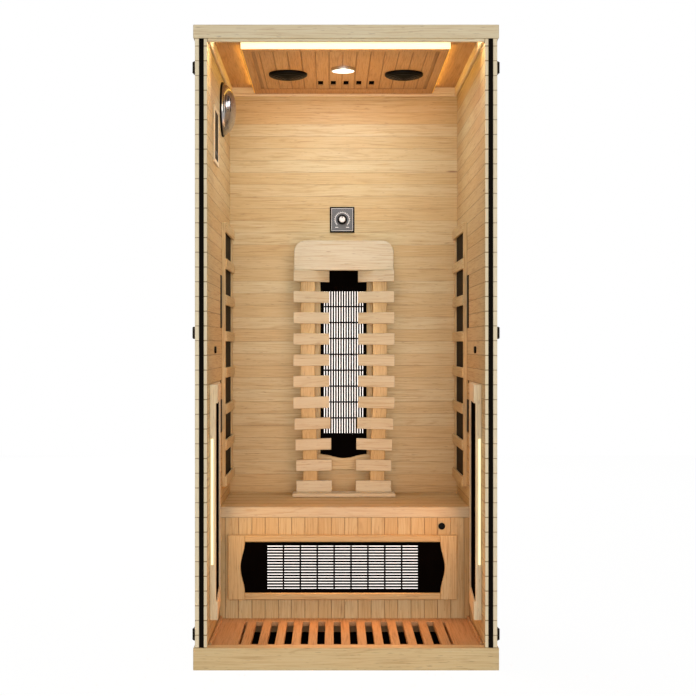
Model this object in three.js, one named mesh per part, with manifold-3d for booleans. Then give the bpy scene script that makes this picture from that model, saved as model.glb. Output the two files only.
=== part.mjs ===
// One-person infrared sauna cabin, shown with its front wall and door taken off.
// Millimetres, +Z up, front towards -Y, origin on the floor at the centre of the footprint.

import * as THREE from 'three';
import { mergeVertices } from 'three/addons/utils/BufferGeometryUtils.js';
import Module from 'manifold-3d';

// Overall cabin
const cabinWidth = 900;
const cabinDepth = 900;
const cabinHeight = 1900;
const baseHeight = 66;
const roofHeight = 40;
const overhang = 5; // roof and base stand past the walls
const frontRecess = 2; // side walls sit back from the base's front face
const seat = 0.3; // clearance where one piece rests on another
const weld = 1; // overlap of shapes that are joined into one piece

// Wall build-up, outside to inside
const outerSkin = 12;
const wallCavity = 14;
const innerSkin = 10;
const battenWidth = 40;
const sealDepth = 18;
const sealRecess = 1.5;

// Matched boards
const boardPitch = 43.35;
const grooveWidth = 4;
const grooveDepth = 2;
const wallFirstJoint = 37; // height of the lowest board on the walls
const seatBoardPitch = 86;

// Roof and ceiling
const roofSheet = 16;
const lipWidth = 9;
const lipDrop = 10;
const ceilingWidth = 633;
const ceilingThickness = 25;
const ceilingSetback = 150; // ceiling panel's front edge behind the cabin's front
const ceilingBorder = 26;
const ceilingRearRail = 86;
const ceilingFirstJoint = 23; // from the border
const ceilingChannel = 11; // sunk strip beside the border, at both sides
const borderProud = 2;
const lightHeight = 20;
const lightThickness = 4;
const lightFoot = 3; // ceiling panel left bare below the light strip

// Fittings in the ceiling
const speakerDiameter = 128;
const speakerProud = 19; // at the middle of its bowed face
const speakerRim = 5;
const speakerSpread = 193; // each side of their middle
const speakerShift = 5; // their middle to the cabin's middle
const speakerSetback = 510;
const lampDiameter = 79;
const lampProud = 13;
const lampSetback = 425;
const lampShift = -5;
const fittingNeck = 18; // part of a fitting inside the ceiling panel
const fittingFlange = 10; // rim that covers the edge of the cut-out
const fittingChamfer = 7;
const ventCount = 5;
const ventWidth = 18;
const ventLength = 78;
const ventPitch = 44;
const ventSetback = 670;
const ventShift = 7;

// Base and floor
const panSheet = 12;
const panLift = 4;
const bearerWidth = 24;
const grateThickness = 16;
const grateDrop = 2; // grate lies below the top of the base
const slotCount = 12;
const slotPitch = 49.9;
const slotWidth = 23;
const slotSetback = 60;
const slotLength = 318;
const edgeSlotWidth = 8;
const edgeSlotSpread = 318;
const floorHeaterWidth = 600;
const floorHeaterThickness = 8;

// Bench
const benchHeight = 427;
const legRoom = 429; // cabin's front to the bench front
const benchRailHeight = 34;
const benchRailThickness = 22;
const benchRailProud = 4;
const benchFrontThickness = 14;
const seatThickness = 22;
const cleatHeight = 40;
const cleatWidth = 28;

// Heater unit, used across the bench front and upright on the back wall
const legHeaterMargin = 37; // each end of the leg heater to the side wall
const backHeaterLength = 766;
const unitHeight = 208;
const unitProud = 28;
const frameEnd = 54; // end blocks of the frame
const windowHeight = 166;
const windowBulge = 14;
const guardRecess = 10;
const guardThickness = 3;
const bayCount = 9;
const guardEndShare = 0.0948; // plain ends of the guard, of the unit's length
const bayBar = 5;
const bayHeight = 146;
const elementMargin = 6;
const legHeaterRise = 5.5; // above the middle of the bench front
const legHeaterOffset = -7; // from the middle of the bench front
const backHeaterLift = 85; // above the bench

// Calf heaters on the side walls
const calfSetback = 85;
const calfWidth = 260;
const calfBottom = 130;
const calfHeight = 708;
const calfProud = 24; // at its front, off the wall
const calfBackProud = 10; // its face slants back towards the bench
const calfPost = 14;
const calfPostProud = 18; // the front post is sunk between the rails
const calfRail = 56;
const calfPanelRecess = 5;
const calfLightWidth = 6;
const calfLightInset = 4; // off the wall
const calfLightHeight = 378;
const calfLightBottom = 297;
const calfLightThickness = 2;

// Lattice guards beside the bench
const latticeBackGap = 14; // to the back wall
const latticeWidth = 335;
const latticeLift = 58; // above the bench
const latticePost = 30;
const latticePostProud = 11;
const latticeProud = 18;
const latticeSlats = 8;
const latticeSlatHeight = 34;
const latticeWindow = 87;
const latticeHeaterThickness = 6;

// Backrest
const backrestWidth = 352;
const backrestGap = 102; // open middle between the two columns of slats
const backrestStandOff = 70; // back of the foot rail to the back wall
const backrestRows = 11;
const backrestPitch = 74;
const backrestSlatHeight = 39.5;
const backrestSlatThickness = 18;
const backrestSlatTurn = 28; // degrees, inner ends lie deeper
const slatEaseRows = 3; // slats below this row turn less
const tuckRows = 4; // slats and uprights bend in below this row
const tuck = 9; // lowest slat and the foot of an upright, towards the middle
const uprightWidth = 50;
const uprightThickness = 22;
const uprightInset = 24; // outer end of a slat to the upright
const lumbarForward = 34; // middle of the back stands ahead of its foot and head
const headrestHeight = 105;
const headrestThickness = 30;
const headrestCorner = 42;
const footRailHeight = 12.5;
const footRailDepth = 84;
const footRailWidth = 358;

// Dial on the back wall
const dialWidth = 88;
const dialHeight = 92;
const dialThickness = 8;
const dialCentre = 1407; // height of its middle
const dialX = -5; // from the cabin's middle
const knobDiameter = 34;
const knobSkirt = 7; // height of its wide foot
const knobGrip = 24; // diameter of its grip
const knobLength = 14;
const ridgeWidth = 3;
const ridgeLength = 10;
const ridgeProud = 2.5;
const knobShaft = 8;
const knobShaftLength = 6;

// Control panel and ionizer on the left wall
const controlSetback = 199;
const controlWidth = 145;
const controlHeight = 176;
const controlDrop = 158; // top of the wall to its top
const controlThickness = 5;
const controlBorder = 12;
const controlRecess = 1.5;
const ionizerSetback = 522;
const ionizerDrop = 117; // top of the wall to its middle
const ionizerDiameter = 180;
const ionizerRim = 4;
const ionizerDome = 170;
const ionizerProud = 47;

// Push button on the bench front
const buttonDiameter = 22;
const buttonStem = 15;
const buttonHead = 5;
const buttonChamfer = 2;
const buttonTravel = 3;
const buttonInset = 92; // from the right wall
const buttonTail = 8;

// Power unit under the bench
const powerWidth = 220;
const powerHeight = 140;
const powerDepth = 70;
const powerBottom = 130;
const inletWidth = 34;
const inletHeight = 26;
const inletRecess = 12;
const inletWall = 3;

// Latches that clasp the front wall to the side walls
const latchHeight = 36;
const latchLength = 44;
const latchPlate = 2;
const latchKnuckle = 2.9; // radius
const latchPin = 1.4; // radius
const latchPlay = 0.3;
const latchEar = 4;
const latchTaper = 3; // off each ear's outer corner
const latchSetback = 14; // hinge line behind the cabin's front
const latchNose = 8; // plate ahead of the hinge line
const latchTopInset = 84;
const latchMiddle = 927; // above the foot of the wall
const latchBottomInset = 38;

// Places worked out from the sizes above
const halfWidth = cabinWidth / 2;
const halfDepth = cabinDepth / 2;
const wallThickness = outerSkin + wallCavity + innerSkin;
const wallOuterX = halfWidth - overhang;
const wallInnerX = wallOuterX - wallThickness;
const wallBackY = halfDepth - overhang;
const backInnerY = wallBackY - wallThickness;
const wallFrontY = frontRecess - halfDepth;
const wallBottomZ = baseHeight + seat;
const wallTopZ = cabinHeight - roofHeight - seat;
const wallHeight = wallTopZ - wallBottomZ;
const sideLength = backInnerY - seat - wallFrontY;
const roofBottomZ = cabinHeight - roofHeight;
const sheetUnderZ = cabinHeight - roofSheet;
const ceilingUnderZ = sheetUnderZ - seat - ceilingThickness;
const ceilingFrontY = ceilingSetback - halfDepth;
const ceilingBackY = backInnerY - seat - lipWidth - seat;
const benchFrontY = legRoom - halfDepth;
const grateTopZ = baseHeight - grateDrop;
const grateUnderZ = grateTopZ - grateThickness;
const panTopZ = panLift + panSheet;
const railUnderZ = benchHeight - benchRailHeight;
const legHeaterZ = (grateTopZ + railUnderZ) / 2 + legHeaterRise;
const buttonX = wallInnerX - buttonInset;
const buttonZ = (legHeaterZ + unitHeight / 2 + railUnderZ) / 2;
const backrestFootY = backInnerY - backrestStandOff - footRailDepth;

const axisX = new THREE.Vector3(1, 0, 0);
const axisY = new THREE.Vector3(0, 1, 0);
const axisZ = new THREE.Vector3(0, 0, 1);
const negative = (vector) => vector.clone().negate();

const wasm = await Module();
wasm.setup();

const cabin = new THREE.Group();

// Finishes as [colour, roughness, metalness]
const hemlock = [0xd8c39d, 0.55, 0];
const hemlockWarm = [0xd1a87c, 0.55, 0];
const plywood = [0xc8a97b, 0.65, 0];
const blackRubber = [0x14110f, 0.8, 0];
const blackEnamel = [0x17140f, 0.45, 0.2];
const whiteCeramic = [0xf2f0ea, 0.4, 0];
const warmLight = [0xfbfce7, 0.4, 0];
const blackPlastic = [0x1b1a19, 0.5, 0];
const greyPlastic = [0x7a7d74, 0.45, 0.1];
const chrome = [0xc9cbcc, 0.2, 1];
const bronzeSteel = [0x35281f, 0.4, 0.8];

function piece(name, geometry, [color, roughness, metalness], parent = cabin) {
  const material = new THREE.MeshStandardMaterial({ color, roughness, metalness });
  const mesh = new THREE.Mesh(geometry, material);
  mesh.name = name;
  parent.add(mesh);
  return mesh;
}

// A box between low and high values on each axis
function block(x, y, z) {
  const box = new THREE.BoxGeometry(x[1] - x[0], y[1] - y[0], z[1] - z[0]);
  return box.translate((x[0] + x[1]) / 2, (y[0] + y[1]) / 2, (z[0] + z[1]) / 2);
}

// A box on one side, -1 left and 1 right, between two distances from the middle
function sideBlock(side, x, y, z) {
  const ends = [side * x[0], side * x[1]];
  return block([Math.min(...ends), Math.max(...ends)], y, z);
}

// A box on a side wall, between two distances in from the wall's inner face
function wallBlock(side, proud, y, z) {
  return sideBlock(side, [wallInnerX - proud[0], wallInnerX - proud[1]], y, z);
}

// An outline of [x, y] corners, carried between two heights
function prism(corners, z) {
  const outline = corners.map(([x, y]) => new THREE.Vector2(x, y));
  return extrude(new THREE.Shape(outline), z[1] - z[0]).translate(0, 0, z[0]);
}

// A prism on a side wall, from corners with their distance in from the wall's inner face
function wallPrism(side, corners, z) {
  return prism(corners.map(([proud, y]) => [side * (wallInnerX - proud), y]), z);
}

// A skin over rings of corners, one above another, closed at both ends
function stacked(rings) {
  const count = rings[0].length;
  const top = (rings.length - 1) * count;
  const index = [];
  for (let level = 0; level < top; level += count) {
    for (let corner = 0; corner < count; corner += 1) {
      const here = level + corner;
      const next = level + (corner + 1) % count;
      index.push(here, next, next + count, here, next + count, here + count);
    }
  }
  for (let corner = 1; corner < count - 1; corner += 1) {
    index.push(0, corner + 1, corner);
    index.push(top, top + corner, top + corner + 1);
  }
  const geometry = new THREE.BufferGeometry();
  geometry.setAttribute('position', new THREE.Float32BufferAttribute(rings.flat(2), 3));
  geometry.setIndex(index);
  return geometry;
}

function extrude(shape, depth, curveSegments = 8) {
  return new THREE.ExtrudeGeometry(shape, { depth, curveSegments, bevelEnabled: false });
}

// Lays a flat outline's x and y along two directions, and its depth along their cross product
function lay(geometry, xDirection, yDirection, origin) {
  const depthDirection = xDirection.clone().cross(yDirection);
  const frame = new THREE.Matrix4().makeBasis(xDirection, yDirection, depthDirection);
  return geometry.applyMatrix4(frame).translate(...origin);
}

function rectangle(path, x, y) {
  path.moveTo(x[0], y[0]);
  path.lineTo(x[1], y[0]);
  path.lineTo(x[1], y[1]);
  path.lineTo(x[0], y[1]);
  path.closePath();
  return path;
}

// A body turned about +Z from [radius, height] corners
function turned(corners, segments = 24) {
  const profile = corners.map(([radius, height]) => new THREE.Vector2(radius, height));
  return new THREE.LatheGeometry(profile, segments).rotateX(Math.PI / 2);
}

function solid(geometry) {
  const bare = geometry.clone();
  bare.deleteAttribute('normal');
  bare.deleteAttribute('uv');
  const merged = mergeVertices(bare, 1e-4);
  const vertProperties = new Float32Array(merged.attributes.position.array);
  const triVerts = new Uint32Array(merged.index.array);
  return new wasm.Manifold(new wasm.Mesh({ numProp: 3, vertProperties, triVerts }));
}

function skinOf(body) {
  const mesh = body.getMesh();
  const geometry = new THREE.BufferGeometry();
  geometry.setAttribute('position', new THREE.BufferAttribute(mesh.vertProperties, 3));
  geometry.setIndex(new THREE.BufferAttribute(mesh.triVerts, 1));
  geometry.computeVertexNormals();
  return geometry;
}

function join(geometries) {
  return skinOf(geometries.map(solid).reduce((whole, next) => whole.add(next)));
}

function cut(geometry, tools) {
  return skinOf(tools.map(solid).reduce((whole, next) => whole.subtract(next), solid(geometry)));
}

// A skin of matched boards: x runs across the boards, y into the skin from its grooved face
function boards(span, thickness, length, firstJoint, pitch = boardPitch) {
  const profile = new THREE.Shape();
  profile.moveTo(0, 0);
  for (let joint = firstJoint; joint < span - grooveWidth; joint += pitch) {
    profile.lineTo(joint - grooveWidth / 2, 0);
    profile.lineTo(joint, grooveDepth);
    profile.lineTo(joint + grooveWidth / 2, 0);
  }
  profile.lineTo(span, 0);
  profile.lineTo(span, thickness);
  profile.lineTo(0, thickness);
  profile.closePath();
  return extrude(profile, length);
}

// First joint that leaves equal boards at both ends of a span
function evenJoint(span) {
  const spare = span % boardPitch;
  return spare > 2 * grooveWidth ? spare / 2 : (spare + boardPitch) / 2;
}

// A flat ring of battens, in the outline's own x and y
function battenRing(width, height, depth) {
  const ring = rectangle(new THREE.Shape(), [0, width], [0, height]);
  const inner = [[battenWidth, width - battenWidth], [battenWidth, height - battenWidth]];
  ring.holes.push(rectangle(new THREE.Path(), ...inner));
  return extrude(ring, depth);
}

// Side walls: outer boards with their battens, inner boards, and the seal in the front groove
function sideWall(side, label) {
  const out = side > 0 ? axisX : negative(axisX);
  const outerStart = side > 0 ? backInnerY - seat : wallFrontY;
  const innerStart = side > 0 ? wallFrontY : backInnerY - seat;
  const outer = boards(wallHeight, outerSkin, sideLength, wallFirstJoint);
  lay(outer, axisZ, negative(out), [side * wallOuterX, outerStart, wallBottomZ]);
  const battens = battenRing(sideLength - sealDepth - seat, wallHeight, wallCavity - seat + weld);
  const battenFace = side * (wallOuterX - outerSkin - wallCavity + seat);
  const battenX = side > 0 ? battenFace : battenFace - (wallCavity - seat + weld);
  lay(battens, axisY, axisZ, [battenX, wallFrontY + sealDepth + seat, wallBottomZ]);
  piece(`${label}_outer_panel`, join([outer, battens]), hemlock);

  const inner = boards(wallHeight, innerSkin, sideLength, wallFirstJoint);
  lay(inner, axisZ, out, [side * wallInnerX, innerStart, wallBottomZ]);
  piece(`${label}_inner_lining`, inner, hemlock);

  const sealX = [-(innerSkin + seat), -(innerSkin + wallCavity - seat)];
  const sealY = [wallFrontY + sealRecess, wallFrontY + sealDepth];
  const seal = wallBlock(side, sealX, sealY, [wallBottomZ, wallTopZ]);
  piece(`${label}_groove_seal`, seal, blackRubber);
}

const inletX = [-inletWidth / 2, inletWidth / 2];
const inletMiddle = powerBottom + powerHeight / 2;
const inletZ = [inletMiddle - inletHeight / 2, inletMiddle + inletHeight / 2];

// Clear hole through the back wall for the power inlet
function inletHole() {
  const x = [inletX[0] - seat, inletX[1] + seat];
  const z = [inletZ[0] - seat, inletZ[1] + seat];
  return block(x, [backInnerY - weld, wallBackY + weld], z);
}

function backWall() {
  const width = 2 * wallOuterX;
  const outer = boards(wallHeight, outerSkin, width, wallFirstJoint);
  lay(outer, axisZ, negative(axisY), [-wallOuterX, wallBackY, wallBottomZ]);
  const battens = battenRing(width, wallHeight, wallCavity - seat + weld);
  lay(battens, axisX, axisZ, [-wallOuterX, wallBackY - outerSkin + weld, wallBottomZ]);
  piece('back_outer_panel', cut(join([outer, battens]), [inletHole()]), hemlock);

  const inner = boards(wallHeight, innerSkin, width, wallFirstJoint);
  lay(inner, axisZ, axisY, [wallOuterX, backInnerY, wallBottomZ]);
  piece('back_inner_lining', cut(inner, [inletHole()]), hemlock);
}

// Base: a ring of rails, a pan with bearers, a heater sheet and a lift-out slotted floor
function base() {
  const ring = rectangle(new THREE.Shape(), [-halfWidth, halfWidth], [-halfDepth, halfDepth]);
  ring.holes.push(rectangle(new THREE.Path(), [-wallInnerX, wallInnerX], [-backInnerY, backInnerY]));
  piece('base_frame', extrude(ring, baseHeight), hemlock);

  const panX = wallInnerX - seat;
  const panY = backInnerY - seat;
  const bearerZ = [panTopZ - weld, grateUnderZ - seat];
  const sheet = block([-panX, panX], [-panY, panY], [panLift, panTopZ]);
  const frontBearer = block([-panX, panX], [-panY, bearerWidth - panY], bearerZ);
  const midBearer = block([-panX, panX], [benchFrontY - bearerWidth, benchFrontY + bearerWidth], bearerZ);
  const backBearer = block([-panX, panX], [panY - bearerWidth, panY], bearerZ);
  piece('base_pan', join([sheet, frontBearer, midBearer, backBearer]), plywood);

  const heaterY = [bearerWidth + seat - panY, benchFrontY - bearerWidth - seat];
  const heaterX = [-floorHeaterWidth / 2, floorHeaterWidth / 2];
  const heaterZ = [panTopZ + seat, panTopZ + seat + floorHeaterThickness];
  piece('floor_heater', block(heaterX, heaterY, heaterZ), blackEnamel);

  const slotY = [slotSetback - halfDepth, slotSetback - halfDepth + slotLength];
  const slotZ = [grateUnderZ - weld, grateTopZ + weld];
  const slotAt = (middle, width) => block([middle - width / 2, middle + width / 2], slotY, slotZ);
  const slots = [slotAt(-edgeSlotSpread, edgeSlotWidth), slotAt(edgeSlotSpread, edgeSlotWidth)];
  for (let slot = 0; slot < slotCount; slot += 1) {
    slots.push(slotAt((slot - (slotCount - 1) / 2) * slotPitch, slotWidth));
  }
  const grate = block([-panX, panX], [-panY, benchFrontY - seat], [grateUnderZ, grateTopZ]);
  piece('floor_grate', cut(grate, slots), hemlockWarm);
}

// Roof tray with a lip that drops inside the walls, and the ceiling panel that hangs in it
function roof() {
  const lipX = wallInnerX - seat;
  const lipY = [wallFrontY, backInnerY - seat];
  const rails = block([-halfWidth, halfWidth], [-halfDepth, halfDepth], [roofBottomZ, cabinHeight]);
  const lip = block([-lipX, lipX], lipY, [roofBottomZ - lipDrop, roofBottomZ + weld]);
  const pocketX = [lipWidth - lipX, lipX - lipWidth];
  const pocketY = [lipY[0] + lipWidth, lipY[1] - lipWidth];
  const pocket = block(pocketX, pocketY, [roofBottomZ - lipDrop - weld, sheetUnderZ]);
  piece('roof_tray', cut(join([rails, lip]), [pocket]), hemlock);

  const halfCeiling = ceilingWidth / 2;
  const ceilingX = [-halfCeiling, halfCeiling];
  const fieldX = [ceilingBorder - halfCeiling, halfCeiling - ceilingBorder];
  const fieldY = [ceilingFrontY + ceilingBorder, ceilingBackY - ceilingRearRail];
  const border = rectangle(new THREE.Shape(), ceilingX, [ceilingFrontY, ceilingBackY]);
  border.holes.push(rectangle(new THREE.Path(), fieldX, fieldY));
  const borderRing = extrude(border, ceilingThickness).translate(0, 0, ceilingUnderZ);
  const fieldWidth = fieldX[1] - fieldX[0] + 2 * weld;
  const fieldLength = fieldY[1] - fieldY[0] + 2 * weld;
  const fieldDepth = ceilingThickness - borderProud;
  const field = boards(fieldWidth, fieldDepth, fieldLength, ceilingFirstJoint + weld);
  lay(field, axisX, axisZ, [fieldX[0] - weld, fieldY[1] + weld, ceilingUnderZ + borderProud]);
  const channelZ = [ceilingUnderZ, ceilingUnderZ + borderProud + grooveDepth];
  const holeZ = [ceilingUnderZ - weld, sheetUnderZ + weld];
  const holes = [
    block([fieldX[0], fieldX[0] + ceilingChannel], fieldY, channelZ),
    block([fieldX[1] - ceilingChannel, fieldX[1]], fieldY, channelZ),
  ];
  for (let vent = 0; vent < ventCount; vent += 1) {
    const middle = ventShift + (vent - (ventCount - 1) / 2) * ventPitch;
    const y = [ventSetback - halfDepth - ventLength / 2, ventSetback - halfDepth + ventLength / 2];
    holes.push(block([middle - ventWidth / 2, middle + ventWidth / 2], y, holeZ));
  }
  for (const { x, y, neck } of ceilingFittings) {
    const bore = new THREE.CylinderGeometry(neck + seat, neck + seat, holeZ[1] - holeZ[0], 24);
    holes.push(bore.rotateX(Math.PI / 2).translate(x, y, (holeZ[0] + holeZ[1]) / 2));
  }
  piece('ceiling_panel', cut(join([borderRing, field]), holes), hemlockWarm);
}

const speakerY = speakerSetback - halfDepth;
const lampY = lampSetback - halfDepth;
const speakerRadius = speakerDiameter / 2;
const lampRadius = lampDiameter / 2;
const speakerNeck = speakerRadius - fittingFlange;
const lampNeck = lampRadius - fittingFlange;
const ceilingFittings = [
  { x: speakerShift - speakerSpread, y: speakerY, neck: speakerNeck },
  { x: speakerShift + speakerSpread, y: speakerY, neck: speakerNeck },
  { x: lampShift, y: lampY, neck: lampNeck },
];

// Light strip round the front and sides of the ceiling panel
function coveLight() {
  const inner = ceilingWidth / 2 + seat;
  const outer = inner + lightThickness;
  const frontY = ceilingFrontY - seat;
  const strip = new THREE.Shape();
  strip.moveTo(-outer, ceilingBackY);
  strip.lineTo(-outer, frontY);
  strip.lineTo(-inner, frontY - lightThickness);
  strip.lineTo(inner, frontY - lightThickness);
  strip.lineTo(outer, frontY);
  strip.lineTo(outer, ceilingBackY);
  strip.lineTo(inner, ceilingBackY);
  strip.lineTo(inner, frontY);
  strip.lineTo(-inner, frontY);
  strip.lineTo(-inner, ceilingBackY);
  strip.closePath();
  piece('cove_light', extrude(strip, lightHeight).translate(0, 0, ceilingUnderZ + lightFoot), warmLight);
}

// Speakers have a bowed face, the lamp a flat one with a chamfer
const speakerBow = speakerProud - speakerRim;
const speakerFace = [0, 18, 36, 54, 72, 90].map((degrees) => {
  const angle = THREE.MathUtils.degToRad(degrees);
  return [speakerRadius * Math.sin(angle), -speakerRim - speakerBow * Math.cos(angle)];
});
const lampFace = [
  [0, -lampProud],
  [lampRadius - fittingChamfer, -lampProud],
  [lampRadius, fittingChamfer - lampProud],
];

// A round fitting in the ceiling: face below, flange under the boards and neck in its hole
function ceilingFitting(name, finish, { x, y, neck }, radius, face) {
  const bodyCorners = [
    ...face,
    [radius, -seat],
    [neck, -seat],
    [neck, fittingNeck],
    [0, fittingNeck],
  ];
  const fitting = turned(bodyCorners).translate(x, y, ceilingUnderZ + borderProud);
  piece(name, fitting, finish);
}

// Bench: boarded front, front rail, seat boards and the cleats that carry them
function bench() {
  const x = [seat - wallInnerX, wallInnerX - seat];
  const width = x[1] - x[0];
  const railY = [benchFrontY - benchRailProud, benchFrontY - benchRailProud + benchRailThickness];
  const railZ = [railUnderZ, benchHeight];
  piece('bench_rail', block(x, railY, railZ), hemlock);

  const frontBottom = grateUnderZ;
  const front = boards(width, benchFrontThickness, railZ[0] - seat - frontBottom, evenJoint(width));
  lay(front, axisX, axisY, [x[0], benchFrontY, frontBottom]);
  const holeRadius = buttonStem / 2 + seat;
  const holeLength = 2 * (benchFrontThickness + weld);
  const buttonHole = new THREE.CylinderGeometry(holeRadius, holeRadius, holeLength, 24);
  buttonHole.translate(buttonX, benchFrontY, buttonZ);
  piece('bench_front', cut(front, [buttonHole]), hemlock);

  const seatY = [railY[1] + seat, backInnerY - seat];
  const seatDepth = seatY[1] - seatY[0];
  const seatTop = boards(seatDepth, seatThickness, width, seatBoardPitch, seatBoardPitch);
  lay(seatTop, axisY, negative(axisZ), [x[1], seatY[0], benchHeight]);
  piece('bench_seat', seatTop, hemlock);

  const cleatTop = benchHeight - seatThickness - seat;
  const cleatFront = Math.max(railY[1], benchFrontY + benchFrontThickness) + seat;
  const cleat = new THREE.Shape();
  cleat.moveTo(x[0], cleatFront);
  cleat.lineTo(x[0] + cleatWidth, cleatFront);
  cleat.lineTo(x[0] + cleatWidth, seatY[1] - cleatWidth);
  cleat.lineTo(x[1] - cleatWidth, seatY[1] - cleatWidth);
  cleat.lineTo(x[1] - cleatWidth, cleatFront);
  cleat.lineTo(x[1], cleatFront);
  cleat.lineTo(x[1], seatY[1]);
  cleat.lineTo(x[0], seatY[1]);
  cleat.closePath();
  piece('bench_cleats', extrude(cleat, cleatHeight).translate(0, 0, cleatTop - cleatHeight), plywood);
}

// Window of a heater unit: straight long sides, end sides bowed outwards
function windowOutline(path, length, inset) {
  const x = length / 2 - inset;
  const y = windowHeight / 2 - inset;
  const bow = x + 2 * windowBulge;
  path.moveTo(-x, -y);
  path.lineTo(x, -y);
  path.quadraticCurveTo(bow, 0, x, y);
  path.lineTo(-x, y);
  path.quadraticCurveTo(-bow, 0, -x, -y);
  return path;
}

// Heater unit with its back on y = 0, its length along x and its face towards -y
function heaterUnit(label, length) {
  const unit = new THREE.Group();
  const windowLength = length - 2 * frameEnd;
  const bayPitch = (windowLength - 2 * guardEndShare * length) / bayCount;
  const frameX = [-length / 2, length / 2];
  const frame = rectangle(new THREE.Shape(), frameX, [-unitHeight / 2, unitHeight / 2]);
  frame.holes.push(windowOutline(new THREE.Path(), windowLength, 0));
  piece(`${label}_frame`, lay(extrude(frame, unitProud), axisX, axisZ, [0, 0, 0]), hemlock, unit);

  const guardBack = guardRecess + guardThickness - unitProud;
  const guard = extrude(windowOutline(new THREE.Shape(), windowLength, seat), guardThickness);
  lay(guard, axisX, axisZ, [0, guardBack, 0]);
  const bayY = [guardBack - guardThickness - weld, guardBack + weld];
  const bayZ = [-bayHeight / 2, bayHeight / 2];
  const bays = [];
  for (let bay = 0; bay < bayCount; bay += 1) {
    const middle = (bay - (bayCount - 1) / 2) * bayPitch;
    const x = [middle - (bayPitch - bayBar) / 2, middle + (bayPitch - bayBar) / 2];
    bays.push(block(x, bayY, bayZ));
  }
  piece(`${label}_guard`, cut(guard, bays), blackEnamel, unit);

  const elementX = bayCount * bayPitch / 2 + elementMargin;
  const elementZ = bayHeight / 2 + elementMargin;
  const element = block([-elementX, elementX], [guardBack + seat, -seat], [-elementZ, elementZ]);
  piece(`${label}_element`, element, whiteCeramic, unit);
  cabin.add(unit);
  return unit;
}

function heaters() {
  const leg = heaterUnit('leg_heater', 2 * (wallInnerX - legHeaterMargin));
  leg.position.set(legHeaterOffset, benchFrontY - seat, legHeaterZ);
  const back = heaterUnit('back_heater', backHeaterLength);
  const backHeaterZ = benchHeight + backHeaterLift + backHeaterLength / 2;
  back.position.set(0, backInnerY - seat, backHeaterZ);
  back.rotation.y = Math.PI / 2;
}

// Calf heater: slanted frame on the side wall, dark panel inside, light strip on its front edge
function calfHeater(side, label) {
  const frontY = calfSetback - halfDepth;
  const y = [frontY, frontY + calfWidth];
  const z = [calfBottom, calfBottom + calfHeight];
  const innerY = [y[0] + calfPost, y[1] - calfPost];
  const innerZ = [z[0] + calfRail, z[1] - calfRail];
  const slant = (calfProud - calfBackProud) / calfWidth;
  const face = (at) => seat + calfProud - slant * (at - frontY);
  const wedge = (span, recess, heights) => {
    const corners = [[seat, span[0]], [face(span[0]) - recess, span[0]], [face(span[1]) - recess, span[1]]];
    return wallPrism(side, [...corners, [seat, span[1]]], heights);
  };
  const hollow = wallBlock(side, [-weld, seat + calfProud + weld], innerY, innerZ);
  const postProud = [seat + calfPostProud, seat + calfProud + weld];
  const postCut = wallBlock(side, postProud, [frontY - weld, innerY[0] + weld], innerZ);
  piece(`calf_heater_frame_${label}`, cut(wedge(y, 0, z), [hollow, postCut]), hemlock);

  const panelY = [innerY[0] + seat, innerY[1] - seat];
  const panelZ = [innerZ[0] + seat, innerZ[1] - seat];
  piece(`calf_heater_panel_${label}`, wedge(panelY, calfPanelRecess, panelZ), blackEnamel);

  const lightProud = [seat + calfLightInset, seat + calfLightInset + calfLightWidth];
  const lightY = [frontY - seat - calfLightThickness, frontY - seat];
  const lightZ = [calfLightBottom, calfLightBottom + calfLightHeight];
  piece(`calf_light_${label}`, wallBlock(side, lightProud, lightY, lightZ), warmLight);
}

// Lattice guard: two posts against the wall, cross slats over them, heater panel between the posts
function lattice(side, label) {
  const rearY = backInnerY - latticeBackGap;
  const y = [rearY - latticeWidth, rearY];
  const height = latticeSlats * latticeSlatHeight + (latticeSlats - 1) * latticeWindow;
  const z = [benchHeight + latticeLift, benchHeight + latticeLift + height];
  const postProud = [seat, seat + latticePostProud];
  const slatProud = [seat + latticePostProud - weld, seat + latticeProud];
  const frontPost = wallBlock(side, postProud, [y[0], y[0] + latticePost], z);
  const rearPost = wallBlock(side, postProud, [y[1] - latticePost, y[1]], z);
  const members = [frontPost, rearPost];
  for (let slat = 0; slat < latticeSlats; slat += 1) {
    const bottom = z[0] + slat * (latticeSlatHeight + latticeWindow);
    members.push(wallBlock(side, slatProud, y, [bottom, bottom + latticeSlatHeight]));
  }
  piece(`side_lattice_${label}`, join(members), hemlock);

  const heaterY = [y[0] + latticePost + seat, y[1] - latticePost - seat];
  const heater = wallBlock(side, [seat, seat + latticeHeaterThickness], heaterY, z);
  piece(`side_heater_${label}`, heater, blackEnamel);
}

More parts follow.
